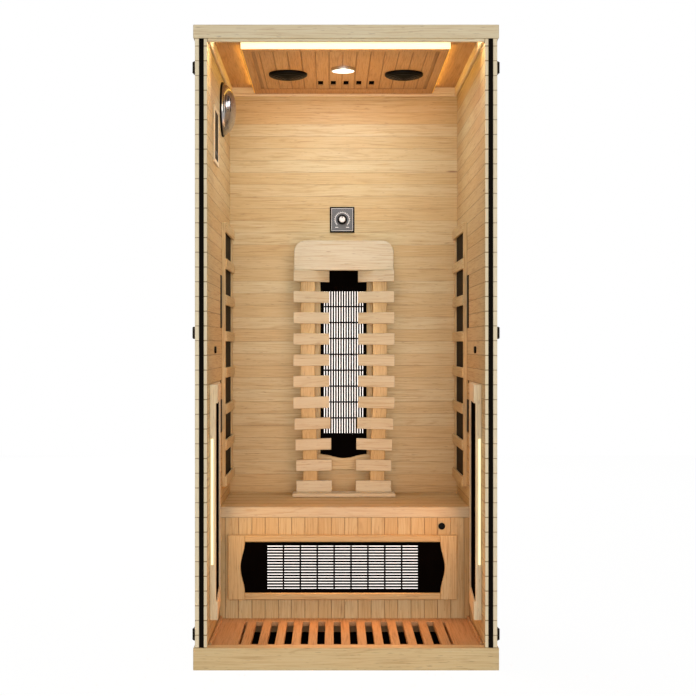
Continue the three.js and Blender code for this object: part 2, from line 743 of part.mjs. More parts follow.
// Backrest: two curved ladders of slats on a foot rail, with a headrest on top
function backrest() {
  const footZ = benchHeight + seat;
  const ladderBottom = footZ + footRailHeight + seat;
  const ladderHeight = (backrestRows - 1) * backrestPitch + backrestSlatHeight;
  const ladderTop = ladderBottom + ladderHeight;
  const footX = [-footRailWidth / 2, footRailWidth / 2];
  const footY = [backrestFootY, backrestFootY + footRailDepth];
  piece('backrest_foot_rail', block(footX, footY, [footZ, footZ + footRailHeight]), hemlock);

  // Front of the uprights in side view: forward at the small of the back, back at foot and head
  const restY = backrestFootY + footRailDepth - uprightThickness;
  const bowAt = (z) => Math.sin(Math.PI * (z - ladderBottom) / ladderHeight) ** 2;
  const frontAt = (z) => restY - lumbarForward * bowAt(z);
  const steps = 2 * backrestRows;
  const stepHeight = ladderHeight / steps;
  const heights = Array.from({ length: steps + 1 }, (_, step) => ladderBottom + stepHeight * step);
  const slatSpan = (backrestWidth - backrestGap) / 2;
  const firstRow = ladderBottom + backrestSlatHeight / 2;
  const rowAt = (z) => Math.max(0, (z - firstRow) / backrestPitch);
  const tuckAt = (z) => tuck * (1 - Math.min(1, rowAt(z) / tuckRows) ** 2);

  for (const [side, label] of [[-1, 'left'], [1, 'right']]) {
    const uprightMiddle = backrestWidth / 2 - uprightInset - uprightWidth / 2;
    const upright = stacked(heights.map((z) => {
      const middle = side * (uprightMiddle - tuckAt(z));
      const x = [middle - uprightWidth / 2, middle + uprightWidth / 2];
      const y = [frontAt(z), frontAt(z) + uprightThickness];
      return [[x[0], y[0], z], [x[1], y[0], z], [x[1], y[1], z], [x[0], y[1], z]];
    }));
    const members = [upright];
    for (let row = 0; row < backrestRows; row += 1) {
      const middle = firstRow + row * backrestPitch;
      const turn = THREE.MathUtils.degToRad(backrestSlatTurn * Math.min(1, row / slatEaseRows));
      const halfSlat = backrestSlatThickness / 2 / Math.cos(turn);
      const setback = slatSpan / 2 * Math.tan(turn);
      const inner = side * (backrestGap / 2 - tuckAt(middle));
      const outer = inner + side * slatSpan;
      const innerY = frontAt(middle) + setback;
      const outerY = frontAt(middle) - setback;
      const corners = [
        [inner, innerY - halfSlat],
        [outer, outerY - halfSlat],
        [outer, outerY + halfSlat],
        [inner, innerY + halfSlat],
      ];
      members.push(prism(corners, [middle - backrestSlatHeight / 2, middle + backrestSlatHeight / 2]));
    }
    piece(`backrest_${label}_ladder`, join(members), hemlock);
  }

  const halfRest = backrestWidth / 2;
  const cornerX = halfRest - headrestCorner;
  const cornerZ = headrestHeight - headrestCorner;
  const headrest = new THREE.Shape();
  headrest.moveTo(-halfRest, 0);
  headrest.lineTo(halfRest, 0);
  headrest.absarc(cornerX, cornerZ, headrestCorner, 0, Math.PI / 2);
  headrest.absarc(-cornerX, cornerZ, headrestCorner, Math.PI / 2, Math.PI);
  headrest.closePath();
  const headY = frontAt(ladderTop) + uprightThickness;
  const head = lay(extrude(headrest, headrestThickness), axisX, axisZ, [0, headY, ladderTop + seat]);
  piece('backrest_headrest', head, hemlock);
}

// Dial plate on the back wall, with a knob whose shaft turns in it
function dial() {
  const faceY = backInnerY - seat - dialThickness;
  const x = [dialX - dialWidth / 2, dialX + dialWidth / 2];
  const z = [dialCentre - dialHeight / 2, dialCentre + dialHeight / 2];
  const plate = block(x, [faceY, backInnerY - seat], z);
  const boreRadius = knobShaft / 2 + seat;
  const bore = new THREE.CylinderGeometry(boreRadius, boreRadius, 2 * (knobShaftLength + seat), 24);
  piece('dial_plate', cut(plate, [bore.translate(dialX, faceY, dialCentre)]), greyPlastic);

  const corners = [
    [0, -knobShaftLength],
    [knobShaft / 2, -knobShaftLength],
    [knobShaft / 2, seat],
    [knobDiameter / 2, seat],
    [knobDiameter / 2, knobSkirt],
    [knobGrip / 2, knobSkirt],
    [knobGrip / 2, knobLength],
    [0, knobLength],
  ];
  const knob = turned(corners).rotateX(Math.PI / 2).translate(dialX, faceY, dialCentre);
  const ridgeX = [dialX - ridgeWidth / 2, dialX + ridgeWidth / 2];
  const ridgeY = [faceY - knobLength - ridgeProud, faceY - knobLength + weld];
  const ridge = block(ridgeX, ridgeY, [dialCentre, dialCentre + ridgeLength]);
  piece('dial_knob', join([knob, ridge]), blackPlastic);
}

function controlPanel() {
  const y = [controlSetback - halfDepth, controlSetback - halfDepth + controlWidth];
  const top = wallTopZ - controlDrop;
  const z = [top - controlHeight, top];
  const body = wallBlock(-1, [seat, seat + controlThickness], y, z);
  const faceY = [y[0] + controlBorder, y[1] - controlBorder];
  const faceZ = [z[0] + controlBorder, z[1] - controlBorder];
  const faceProud = [seat + controlThickness - controlRecess, seat + controlThickness + weld];
  piece('control_panel', cut(body, [wallBlock(-1, faceProud, faceY, faceZ)]), blackPlastic);
}

// Ionizer: thin black rim on the wall with a low dome on it
function ionizer() {
  const domeRadius = ionizerDome / 2;
  const domeHeight = ionizerProud - ionizerRim;
  const steps = 8;
  const corners = [[0, 0], [ionizerDiameter / 2, 0], [ionizerDiameter / 2, ionizerRim]];
  for (let step = 0; step < steps; step += 1) {
    const angle = Math.PI / 2 * step / steps;
    corners.push([domeRadius * Math.cos(angle), ionizerRim + domeHeight * Math.sin(angle)]);
  }
  corners.push([0, ionizerProud]);
  const dome = turned(corners, 32).rotateY(Math.PI / 2);
  dome.translate(seat - wallInnerX, ionizerSetback - halfDepth, wallTopZ - ionizerDrop);
  piece('ionizer', dome, greyPlastic);
}

// Push button: its head stands clear of the bench front by its travel and a clearance
function button() {
  const stem = buttonStem / 2;
  const headBack = buttonTravel + seat;
  const corners = [
    [0, -benchFrontThickness - buttonTail],
    [stem, -benchFrontThickness - buttonTail],
    [stem, headBack],
    [buttonDiameter / 2, headBack],
    [buttonDiameter / 2, headBack + buttonHead - buttonChamfer],
    [buttonDiameter / 2 - buttonChamfer, headBack + buttonHead],
    [0, headBack + buttonHead],
  ];
  const head = turned(corners).rotateX(Math.PI / 2);
  piece('bench_button', head.translate(buttonX, benchFrontY, buttonZ), blackPlastic);
}

// Power unit on the back wall under the bench, its inlet flush with the wall's outer face
function powerUnit() {
  const z = [powerBottom, powerBottom + powerHeight];
  const backY = backInnerY - seat;
  const body = block([-powerWidth / 2, powerWidth / 2], [backY - powerDepth, backY], z);
  const neck = block(inletX, [backY - weld, wallBackY], inletZ);
  const socketX = [inletX[0] + inletWall, inletX[1] - inletWall];
  const socketZ = [inletZ[0] + inletWall, inletZ[1] - inletWall];
  const socket = block(socketX, [wallBackY - inletRecess, wallBackY + weld], socketZ);
  piece('power_unit', cut(join([body, neck]), [socket]), blackPlastic);
}

// Latch: plate with two ears and a pin, and a lever whose knuckle turns on the pin
function latch(side, label, centre) {
  const plateX = wallOuterX + seat;
  const hingeX = plateX + latchPlate + latchPlay + latchKnuckle;
  const hingeY = latchSetback - halfDepth;
  const half = latchHeight / 2;
  const inner = half - latchEar;
  const rod = (radius, length) => {
    const cylinder = new THREE.CylinderGeometry(radius, radius, length, 16).rotateX(Math.PI / 2);
    return cylinder.translate(side * hingeX, hingeY, centre);
  };
  const plateY = [hingeY - latchNose, hingeY - latchNose + latchLength];
  const plate = sideBlock(side, [plateX, plateX + latchPlate], plateY, [centre - half, centre + half]);
  const earX = [plateX + latchPlate - weld / 2, hingeX + latchKnuckle];
  const ear = (end) => {
    const outline = new THREE.Shape();
    outline.moveTo(earX[0], inner);
    outline.lineTo(earX[1], inner);
    outline.lineTo(earX[1], half - latchTaper);
    outline.lineTo(earX[1] - latchTaper, half);
    outline.lineTo(earX[0], half);
    outline.closePath();
    const out = axisX.clone().multiplyScalar(side);
    const along = axisZ.clone().multiplyScalar(end);
    const origin = [0, hingeY + side * end * latchKnuckle, centre];
    return lay(extrude(outline, 2 * latchKnuckle), out, along, origin);
  };
  const base = join([plate, ear(-1), ear(1), rod(latchPin, 2 * inner + latchEar)]);
  piece(`latch_base_${label}`, base, bronzeSteel);

  const reach = inner - latchPlay;
  const leafX = [hingeX - latchKnuckle, hingeX + latchKnuckle - weld];
  const leafY = [hingeY, hingeY - latchNose + latchLength];
  const leaf = sideBlock(side, leafX, leafY, [centre - reach, centre + reach]);
  const knuckle = rod(latchKnuckle, 2 * reach);
  const bore = rod(latchPin + latchPlay, latchHeight);
  piece(`latch_lever_${label}`, cut(join([leaf, knuckle]), [bore]), bronzeSteel);
}

base();
for (const [side, label] of [[-1, 'left'], [1, 'right']]) {
  sideWall(side, label);
  calfHeater(side, label);
  lattice(side, label);
  latch(side, `${label}_top`, wallTopZ - latchTopInset);
  latch(side, `${label}_middle`, wallBottomZ + latchMiddle);
  latch(side, `${label}_bottom`, wallBottomZ + latchBottomInset);
}
backWall();
roof();
coveLight();
ceilingFitting('speaker_left', blackPlastic, ceilingFittings[0], speakerRadius, speakerFace);
ceilingFitting('speaker_right', blackPlastic, ceilingFittings[1], speakerRadius, speakerFace);
ceilingFitting('ceiling_lamp', chrome, ceilingFittings[2], lampRadius, lampFace);
bench();
heaters();
backrest();
dial();
controlPanel();
ionizer();
button();
powerUnit();

export default cabin;
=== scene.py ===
import math
import bmesh
import bpy
import numpy as np
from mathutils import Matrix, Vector


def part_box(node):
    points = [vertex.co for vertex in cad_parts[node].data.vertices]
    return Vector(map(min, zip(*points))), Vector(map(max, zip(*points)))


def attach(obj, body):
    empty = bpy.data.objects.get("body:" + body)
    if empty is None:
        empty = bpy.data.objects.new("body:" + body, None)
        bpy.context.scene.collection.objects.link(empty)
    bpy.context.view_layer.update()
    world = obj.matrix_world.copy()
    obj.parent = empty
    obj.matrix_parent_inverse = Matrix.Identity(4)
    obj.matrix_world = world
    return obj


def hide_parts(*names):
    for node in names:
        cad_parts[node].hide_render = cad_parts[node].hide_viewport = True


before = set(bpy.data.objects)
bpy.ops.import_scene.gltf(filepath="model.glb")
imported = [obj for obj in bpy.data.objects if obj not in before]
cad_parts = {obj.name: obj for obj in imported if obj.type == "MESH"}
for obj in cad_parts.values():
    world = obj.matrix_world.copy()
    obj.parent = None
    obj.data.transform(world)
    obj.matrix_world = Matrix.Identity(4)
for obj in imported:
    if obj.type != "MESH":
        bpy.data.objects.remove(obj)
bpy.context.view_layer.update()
random = np.random.default_rng(41)  # every draw below comes from this seed
print("frame loaded:", len(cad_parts), "nodes")


def box(node):
    low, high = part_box(node)
    return np.array(low), np.array(high)


def setAxis(corner, **values):
    # a copy of a corner with some of its x, y and z changed
    changed = np.array(corner, float)
    for axis, value in values.items():
        changed["xyz".index(axis)] = value
    return changed


# Surfaces


def shell(rings):
    # each ring of points joins the next one, and flat caps close the first and the last ring
    stations, around = rings.shape[:2]
    start = np.arange(stations - 1)[:, None] * around
    here = np.arange(around)[None, :]
    after = (here + 1) % around
    quads = np.stack([start + here, start + after, start + around + after, start + around + here], -1)
    lastRing = (stations - 1) * around
    caps = [list(range(around))[::-1], list(range(lastRing, lastRing + around))]
    return {"points": rings.reshape(-1, 3), "faces": quads.reshape(-1, 4).tolist() + caps}


def grainOf(points, centre, along):
    # distance along the plank, then its two other directions from the heart of its tree
    order = [along, (along + 1) % 3, (along + 2) % 3]
    angle = random.uniform(0, 2 * math.pi)
    reach = random.uniform(0.03, 0.15)
    heart = np.array([random.uniform(-20, 20), reach * math.cos(angle), reach * math.sin(angle)])
    return (points - centre)[:, order] + heart


def grained(part, along, tone=None, rim=0.0):
    # what the wood needs: its grain's run, how dark it is, where its joints lie and where a painted highlight goes
    count = len(part["points"])
    part["grain"] = grainOf(part["points"], part["points"].mean(0), along)
    part["tone"] = np.full(count, random.uniform() if tone is None else tone)
    part["rim"] = np.zeros(count) + rim
    return part


cornerSigns = np.repeat([[1, 1], [-1, 1], [-1, -1], [1, -1]], 3, 0)
cornerAngles = np.radians(np.add.outer(np.arange(4) * 90, [0, 45, 90])).ravel()
cornerTurns = np.column_stack([np.cos(cornerAngles), np.sin(cornerAngles)])


def roundedRectangle(half, edge):
    return cornerSigns * (np.array(half) - edge) + edge * cornerTurns


def plank(low, high, along, edge=0.0012, joint=0.0, seam=None, tone=None, shear=0.0):
    # a rounded rectangle carried along one axis, drawn in at both ends by a chamfer; shear slides y with x;
    # rim is above 0 in the joints, which lie across the seam axis, and -1 on the cut ends of jointed planks,
    # which the wood paints paler as a painted highlight
    low, high = np.array(low, float), np.array(high, float)
    half = (high - low) / 2
    sides = [(along + 1) % 3, (along + 2) % 3]
    chamfer = 0.7 * edge
    band = min(0.0015, 0.4 * (min(half[sides]) - edge - chamfer))
    end = half[along]
    stations = [(-end, chamfer + band), (-end, chamfer), (chamfer - end, 0)]
    stations += [(-run, inset) for run, inset in stations[::-1]]
    rings = np.zeros((6, 12, 3))
    for ring, (run, inset) in zip(rings, stations):
        ring[:, along] = run
        ring[:, sides] = roundedRectangle(half[sides] - inset, edge)
    towards = np.abs(cornerTurns[:, 0 if seam == sides[0] else 1])
    corner = joint * (towards > 0.6)
    # -1 marks the cut ends of jointed planks, where the wood paints a highlight in place of the light that falls on
    # them
    sawnHighlight = np.full(12, -1.0 if joint else 0.0)
    ends = np.where(corner > 0, 0.3 * corner, sawnHighlight)
    rim = np.concatenate([sawnHighlight, ends, corner, corner, ends, sawnHighlight])
    part = grained(shell(rings), along, tone, rim)
    part["points"][:, 1] += shear * part["points"][:, 0]
    part["points"] += (high + low) / 2
    return part


def boardEdges(low, high, first, pitch):
    sliver = 0.004  # no board is narrower than this
    return np.concatenate([[low], np.arange(low + first, high - sliver, pitch), [high]])


def boarding(low, high, across, along, edges, **look):
    # one plank between each two neighbouring edges
    parts = []
    for start, stop in zip(edges[:-1], edges[1:]):
        a, b = np.array(low, float), np.array(high, float)
        a[across], b[across] = start, stop
        parts.append(plank(a, b, along, seam=across, **look))
    return parts


def insetOutline(outline, amount):
    # every side of a flat outline moves in by the same amount
    ahead = np.roll(outline, -1, 0) - outline
    normal = np.stack([-ahead[:, 1], ahead[:, 0]], 1)
    normal /= np.linalg.norm(normal, axis=1)[:, None]
    miter = normal + np.roll(normal, 1, 0)
    miter /= (miter * normal).sum(1)[:, None]
    return outline + amount * miter


def slab(outline, depth, edge, axes, origin, along=None, tone=None):
    # an outline carried along its depth with chamfered rims; axes are the outline's two and the depth's
    outline = np.array(outline, float)
    stations = [(0, edge), (edge, 0), (depth - edge, 0), (depth, edge)]
    rings = []
    for run, inset in stations:
        flat = insetOutline(outline, inset)
        rings.append(np.column_stack([flat, np.full(len(flat), run)]))
    rings = np.array(rings) @ np.array(axes, float)
    part = shell(rings + np.array(origin, float))
    return part if along is None else grained(part, along, tone)


def turned(profile, axes, origin, segments=48):
    # a profile of radius and height carried round its axis, the third of the axes
    radius, height = np.array(profile, float).T
    angle = np.arange(segments) / segments * 2 * math.pi
    rings = np.stack([
        radius[:, None] * np.cos(angle),
        radius[:, None] * np.sin(angle),
        np.repeat(height[:, None], segments, 1),
    ], -1)
    return shell(rings @ np.array(axes, float) + np.array(origin, float))


def quarterRound(radius, height, round, steps=5):
    # a rim that turns from the side of a round body to its face
    angle = np.linspace(0, math.pi / 2, steps)
    return np.column_stack([radius - round + round * np.cos(angle), height - round + round * np.sin(angle)])


def swept(path, profile, side):
    # a closed profile carried along a path; side is the direction that the profile's first axis keeps
    path = np.array(path, float)
    run = np.gradient(path, axis=0)
    run /= np.linalg.norm(run, axis=1)[:, None]
    first = np.array(side, float) - run * (run @ np.array(side, float))[:, None]
    first /= np.linalg.norm(first, axis=1)[:, None]
    second = np.cross(run, first)
    profile = np.array(profile, float)
    rings = path[:, None] + profile[:, 0, None] * first[:, None] + profile[:, 1, None] * second[:, None]
    return shell(rings)


def rectangle(halfWidth, halfHeight, x=0.0, y=0.0):
    corners = np.array([[-1, -1], [1, -1], [1, 1], [-1, 1]])
    return corners * [halfWidth, halfHeight] + [x, y]


def circle(radius, points=10):
    angle = np.arange(points) / points * 2 * math.pi
    return radius * np.column_stack([np.cos(angle), np.sin(angle)])


alongX, alongY, alongZ = 0, 1, 2
faceFront = [[1, 0, 0], [0, 0, 1], [0, -1, 0]]  # outline in x and z, depth towards the front
faceDown = [[1, 0, 0], [0, -1, 0], [0, 0, -1]]
faceRight = [[0, 1, 0], [0, 0, 1], [1, 0, 0]]  # outline in y and z, depth to the right
faceLeft = [[0, -1, 0], [0, 0, 1], [-1, 0, 0]]


def finishMesh(mesh, smooth):
    # faces are turned outwards; round bodies are shaded smooth up to the given angle
    work = bmesh.new()
    work.from_mesh(mesh)
    bmesh.ops.recalc_face_normals(work, faces=work.faces)
    work.to_mesh(mesh)
    work.free()
    if smooth:
        mesh.shade_smooth()
        mesh.set_sharp_from_angle(angle=math.radians(smooth))


def addPiece(name, mesh, material, body, replaces):
    piece = bpy.data.objects.new(name, mesh)
    bpy.context.scene.collection.objects.link(piece)
    mesh.materials.append(material)
    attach(piece, body)
    if replaces:
        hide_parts(*replaces)
    return piece


def makePiece(name, parts, material, replaces=(), body="cabin", smooth=None):
    starts = np.cumsum([0] + [len(part["points"]) for part in parts])
    faces = [[start + corner for corner in face] for start, part in zip(starts, parts) for face in part["faces"]]
    mesh = bpy.data.meshes.new(name)
    mesh.from_pydata(np.concatenate([part["points"] for part in parts]).tolist(), [], faces)
    finishMesh(mesh, smooth)
    if all("grain" in part for part in parts):
        grain = np.concatenate([part["grain"] for part in parts]).astype(np.float32)
        mesh.attributes.new("grain", "FLOAT_VECTOR", "POINT").data.foreach_set("vector", grain.ravel())
        for key in ("tone", "rim"):
            values = np.concatenate([part[key] for part in parts]).astype(np.float32)
            mesh.attributes.new(key, "FLOAT", "POINT").data.foreach_set("value", values)
    return addPiece(name, mesh, material, body, replaces)


def nodeCopy(name, node, material, slot, body="cabin", bevel=0.001, smooth=None, **wood):
    # the solid itself, merged and bevelled; wood gets its grain by face, so that each board has its own
    work = bmesh.new()
    work.from_mesh(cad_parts[node].data)
    bmesh.ops.remove_doubles(work, verts=work.verts, dist=1e-6)
    flat = math.radians(1)
    bmesh.ops.dissolve_limit(work, angle_limit=flat, verts=work.verts, edges=work.edges)
    mesh = bpy.data.meshes.new(name)
    work.to_mesh(mesh)
    work.free()
    if wood:
        woodFaces(mesh, **wood)
    piece = addPiece(name, mesh, material, body, [node])
    soften = piece.modifiers.new("soft edges", "BEVEL")
    soften.width = bevel
    soften.segments = 2
    soften.limit_method = "ANGLE"
    soften.angle_limit = math.radians(35)
    if smooth:
        mesh.shade_smooth()
        mesh.set_sharp_from_angle(angle=math.radians(smooth))
    return piece


def woodFaces(mesh, along, tone, boards=None, groove=None, joint=0.0):
    # boards holds an axis and the joints on it: a face belongs to the board that its middle lies in;
    # groove holds three heights: upright faces from the first and faces that look down from the second, both up
    # to the third, take the joint colour, as dark joints and, in the channel beside the ceiling's border, painted shade
    loops = len(mesh.loops)
    corner = np.zeros(loops, int)
    mesh.loops.foreach_get("vertex_index", corner)
    points = np.zeros(len(mesh.vertices) * 3)
    mesh.vertices.foreach_get("co", points)
    points = points.reshape(-1, 3)
    middles = np.zeros(len(mesh.polygons) * 3)
    mesh.polygons.foreach_get("center", middles)
    middles = middles.reshape(-1, 3)
    normals = np.zeros(len(mesh.polygons) * 3)
    mesh.polygons.foreach_get("normal", normals)
    sizes = np.zeros(len(mesh.polygons), int)
    mesh.polygons.foreach_get("loop_total", sizes)
    board = np.zeros(len(mesh.polygons), int)
    if boards:
        axis, edges = boards
        board = np.digitize(middles[:, axis], edges)
    perCorner = np.repeat(board, sizes)
    grain = np.zeros((loops, 3))
    tones = np.zeros(loops)
    for index in np.unique(board):
        own = perCorner == index
        grain[own] = grainOf(points[corner[own]], points.mean(0), along)
        tones[own] = tone + (random.uniform(-0.35, 0.35) if boards else 0)
    mesh.attributes.new("grain", "FLOAT_VECTOR", "CORNER").data.foreach_set("vector", grain.astype(np.float32).ravel())
    mesh.attributes.new("tone", "FLOAT", "CORNER").data.foreach_set("value", tones.astype(np.float32))
    sunk = np.zeros(len(mesh.polygons))
    if groove:
        level, slope = middles[:, 2], normals[2::3]
        upright = (np.abs(slope) < 0.5) & (level > groove[0])
        bottom = (slope < -0.5) & (level > groove[1])
        sunk = (upright | bottom) & (level < groove[2])
    # painted shade: faces in the ceiling's channel take the joint colour, as do the grooves between its boards, which
    # are dark joints
    rim = (joint * np.repeat(sunk, sizes)).astype(np.float32)
    mesh.attributes.new("rim", "FLOAT", "CORNER").data.foreach_set("value", rim)


def dressNode(node, material):
    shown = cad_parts[node]
    shown.data.materials.clear()
    shown.data.materials.append(material)


# Materials


def linear(code):
    # sRGB hex to linear red, green, blue and alpha
    rgb = np.array([int(code[i:i + 2], 16) for i in (1, 3, 5)]) / 255
    curve = np.where(rgb <= 0.04045, rgb / 12.92, ((rgb + 0.055) / 1.055) ** 2.4)
    return (*curve.tolist(), 1.0)


def addNode(tree, kind, inputs=None, **settings):
    # one node with its settings; an input is a value or the socket that feeds it
    node = tree.nodes.new(kind)
    for key, value in settings.items():
        setattr(node, key, value)
    for socket, value in (inputs or {}).items():
        if isinstance(value, bpy.types.NodeSocket):
            tree.links.new(value, node.inputs[socket])
        else:
            node.inputs[socket].default_value = value
    return node


def newMaterial(name):
    material = bpy.data.materials.new(name)
    material.use_nodes = True
    return material, material.node_tree, material.node_tree.nodes["Principled BSDF"]


def sandedWood(name, look):
    # sanded softwood: pale early wood, thin darker late wood lines, long fibres, now and then a pin knot
    material, tree, shader = newMaterial(name)
    grain = addNode(tree, "ShaderNodeAttribute", attribute_name="grain").outputs["Vector"]
    tone = addNode(tree, "ShaderNodeAttribute", attribute_name="tone").outputs["Fac"]
    rim = addNode(tree, "ShaderNodeAttribute", attribute_name="rim").outputs["Fac"]

    def stretched(length, width, detail, distortion=0.0):
        scale = (1 / length, 1 / width, 1 / width)
        place = addNode(tree, "ShaderNodeVectorMath", {0: grain, 1: scale}, operation="MULTIPLY")
        noise = {"Vector": place.outputs[0], "Scale": 1.0, "Detail": detail, "Distortion": distortion}
        return addNode(tree, "ShaderNodeTexNoise", noise).outputs["Fac"]

    def ranged(value, low, high, toLow=0.0, toHigh=1.0):
        ends = {"Value": value, "From Min": low, "From Max": high, "To Min": toLow, "To Max": toHigh}
        return addNode(tree, "ShaderNodeMapRange", ends).outputs[0]

    def blended(amount, first, second):
        mix = {"Factor": amount, "A": first, "B": second}
        return addNode(tree, "ShaderNodeMix", mix, data_type="RGBA").outputs["Result"]

    def sums(operation, first, second):
        return addNode(tree, "ShaderNodeMath", {0: first, 1: second}, operation=operation).outputs[0]

    drift = stretched(0.35, 0.05, 2.0)
    streak = stretched(0.11, 0.0034, 3.0, 0.3)
    patch = stretched(0.22, 0.020, 2.0)
    dash = stretched(0.030, 0.0024, 1.0)
    fibre = stretched(0.035, 0.0012, 2.0)
    crossways = addNode(tree, "ShaderNodeVectorMath", {0: grain, 1: (0, 1, 1)}, operation="MULTIPLY")
    radius = addNode(tree, "ShaderNodeVectorMath", {0: crossways.outputs[0]}, operation="LENGTH").outputs["Value"]
    wander = sums("MULTIPLY", drift, look["ringDrift"])
    turns = sums("MULTIPLY", sums("ADD", radius, wander), 2 * math.pi / look["ringSpacing"])
    rings = ranged(addNode(tree, "ShaderNodeMath", {0: turns}, operation="SINE").outputs[0], 0.35, 1.0)
    late = sums("MULTIPLY", rings, ranged(patch, 0.35, 0.68))

    board = blended(tone, linear(look["pale"]), linear(look["warm"]))
    shade = blended(ranged(patch, 0.3, 0.7, 0.0, 0.5), board, linear(look["warm"]))
    lined = blended(sums("MULTIPLY", late, look["ringStrength"]), shade, linear(look["late"]))
    streaked = blended(ranged(streak, 0.52, 0.75, 0.0, look["streakStrength"]), lined, linear(look["late"]))
    dashed = blended(ranged(dash, 0.66, 0.76, 0.0, look["dashStrength"]), streaked, linear(look["knot"]))
    bright = blended(ranged(streak, 0.42, 0.25, 0.0, 0.35), dashed, linear(look["light"]))

    cells = (1 / 0.31, 1 / 0.05, 1 / 0.05)
    knotPlace = addNode(tree, "ShaderNodeVectorMath", {0: grain, 1: cells}, operation="MULTIPLY")
    knotCell = addNode(tree, "ShaderNodeTexVoronoi", {"Vector": knotPlace.outputs[0], "Scale": 1.0})
    rare = ranged(addNode(tree, "ShaderNodeSeparateColor", {"Color": knotCell.outputs["Color"]}).outputs[0], 0.80, 0.82)
    knot = sums("MULTIPLY", ranged(knotCell.outputs["Distance"], 0.09, 0.03), rare)
    knotted = blended(sums("MULTIPLY", knot, look["knotStrength"]), bright, linear(look["knot"]))
    # painted highlight: cut ends (rim below 0) are blended towards a near-white colour
    sawnHighlight = blended(ranged(rim, 0.0, -1.0, 0.0, 0.8), knotted, linear(look["sawnHighlight"]))
    jointed = blended(sums("MULTIPLY", rim, look["jointStrength"]), sawnHighlight, linear(look["joint"]))
    tree.links.new(jointed, shader.inputs["Base Color"])
    tree.links.new(ranged(fibre, 0.3, 0.7, 0.42, 0.58), shader.inputs["Roughness"])
    height = sums("ADD", sums("MULTIPLY", fibre, 0.5), sums("MULTIPLY", late, 0.4))
    bump = {"Height": height, "Strength": 0.12, "Distance": 0.0004}
    tree.links.new(addNode(tree, "ShaderNodeBump", bump).outputs[0], shader.inputs["Normal"])
    return material


hemlockLook = {
    "pale": "#d6c79a", "warm": "#ccb079", "late": "#a57d46", "light": "#dccfaa",
    # the colour for rim below 0 is the painted highlight of the cut ends; joint darkens the joints and also paints
    # shade into the ceiling's channel
    "knot": "#7a4a24", "joint": "#6d4422", "sawnHighlight": "#fff1d2",
    "ringSpacing": 0.0075,  # drawn twice as wide as the real rings, so that they show
    "ringDrift": 0.045, "ringStrength": 0.42, "streakStrength": 0.68, "dashStrength": 0.45,
    "knotStrength": 0.75, "jointStrength": 0.75,
}
hemlock = sandedWood("sanded hemlock", hemlockLook)
sapLook = dict(hemlockLook, pale="#f4e6c6", warm="#ebd6ad", late="#d0ae7e", light="#f7eed8")
sapwood = sandedWood("pale hemlock sapwood", sapLook)
honeyLook = dict(hemlockLook, pale="#ebd3a3", warm="#e5c892", late="#c69f68", light="#f0deb9")
honeyHemlock = sandedWood("honey hemlock", honeyLook)
# darker, warmer hemlock for the ceiling panel, the cove lining and the floor grate; on the ceiling panel and the cove
# lining it is painted shade and painted warm cove light
darkWarmLook = dict(hemlockLook, pale="#cfa97a", warm="#c3925d", late="#8f5a2f", light="#d5b085")
darkWarmHemlock = sandedWood("darker warm hemlock", darkWarmLook)
clearLook = dict(hemlockLook, pale="#d4ceb5", warm="#ccc09d", late="#b4996e", light="#dad6c2")
clearHemlock = sandedWood("clear hemlock", clearLook)


def speckled(name, look):
    # a coat or moulding whose colour and roughness vary a little with a fine grit
    material, tree, shader = newMaterial(name)
    place = addNode(tree, "ShaderNodeTexCoord").outputs["Object"]
    grit = {"Vector": place, "Scale": 1 / look["grit"], "Detail": 3.0}
    noise = addNode(tree, "ShaderNodeTexNoise", grit).outputs["Fac"]
    cloud = {"Vector": place, "Scale": 1 / look["cloud"], "Detail": 2.0}
    slow = addNode(tree, "ShaderNodeTexNoise", cloud).outputs["Fac"]
    colour = {"Factor": slow, "A": linear(look["dark"]), "B": linear(look["light"])}
    mix = addNode(tree, "ShaderNodeMix", colour, data_type="RGBA")
    tree.links.new(mix.outputs["Result"], shader.inputs["Base Color"])
    ends = {"Value": noise, "From Min": 0.3, "From Max": 0.7, "To Min": look["smooth"], "To Max": look["rough"]}
    tree.links.new(addNode(tree, "ShaderNodeMapRange", ends).outputs[0], shader.inputs["Roughness"])
    bump = {"Height": noise, "Strength": look["relief"], "Distance": look["grit"] / 4}
    tree.links.new(addNode(tree, "ShaderNodeBump", bump).outputs[0], shader.inputs["Normal"])
    shader.inputs["Metallic"].default_value = look.get("metal", 0.0)
    shader.inputs["Specular IOR Level"].default_value = look.get("gloss", 0.4)
    if "glow" in look:
        shader.inputs["Emission Color"].default_value = linear(look["glow"])
        shader.inputs["Emission Strength"].default_value = look["power"]
    return material


plywood = speckled("raw plywood", {
    "dark": "#bd8f5c", "light": "#d3a877", "grit": 0.003, "cloud": 0.05, "smooth": 0.55, "rough": 0.75, "relief": 0.15})
foamRubber = speckled("black foam rubber", {
    "dark": "#0d0a08", "light": "#16110d", "grit": 0.0015, "cloud": 0.04, "smooth": 0.7, "rough": 0.95, "relief": 0.4,
    "gloss": 0.03})
enamel = speckled("black heatproof enamel", {
    "dark": "#050403", "light": "#0b0807", "grit": 0.0012, "cloud": 0.05, "smooth": 0.6, "rough": 0.8, "relief": 0.12,
    "gloss": 0.0})
carbonPanel = speckled("carbon heater sheet", {
    "dark": "#1d1913", "light": "#2e281f", "grit": 0.002, "cloud": 0.06, "smooth": 0.5, "rough": 0.7, "relief": 0.2,
    "gloss": 0.02})
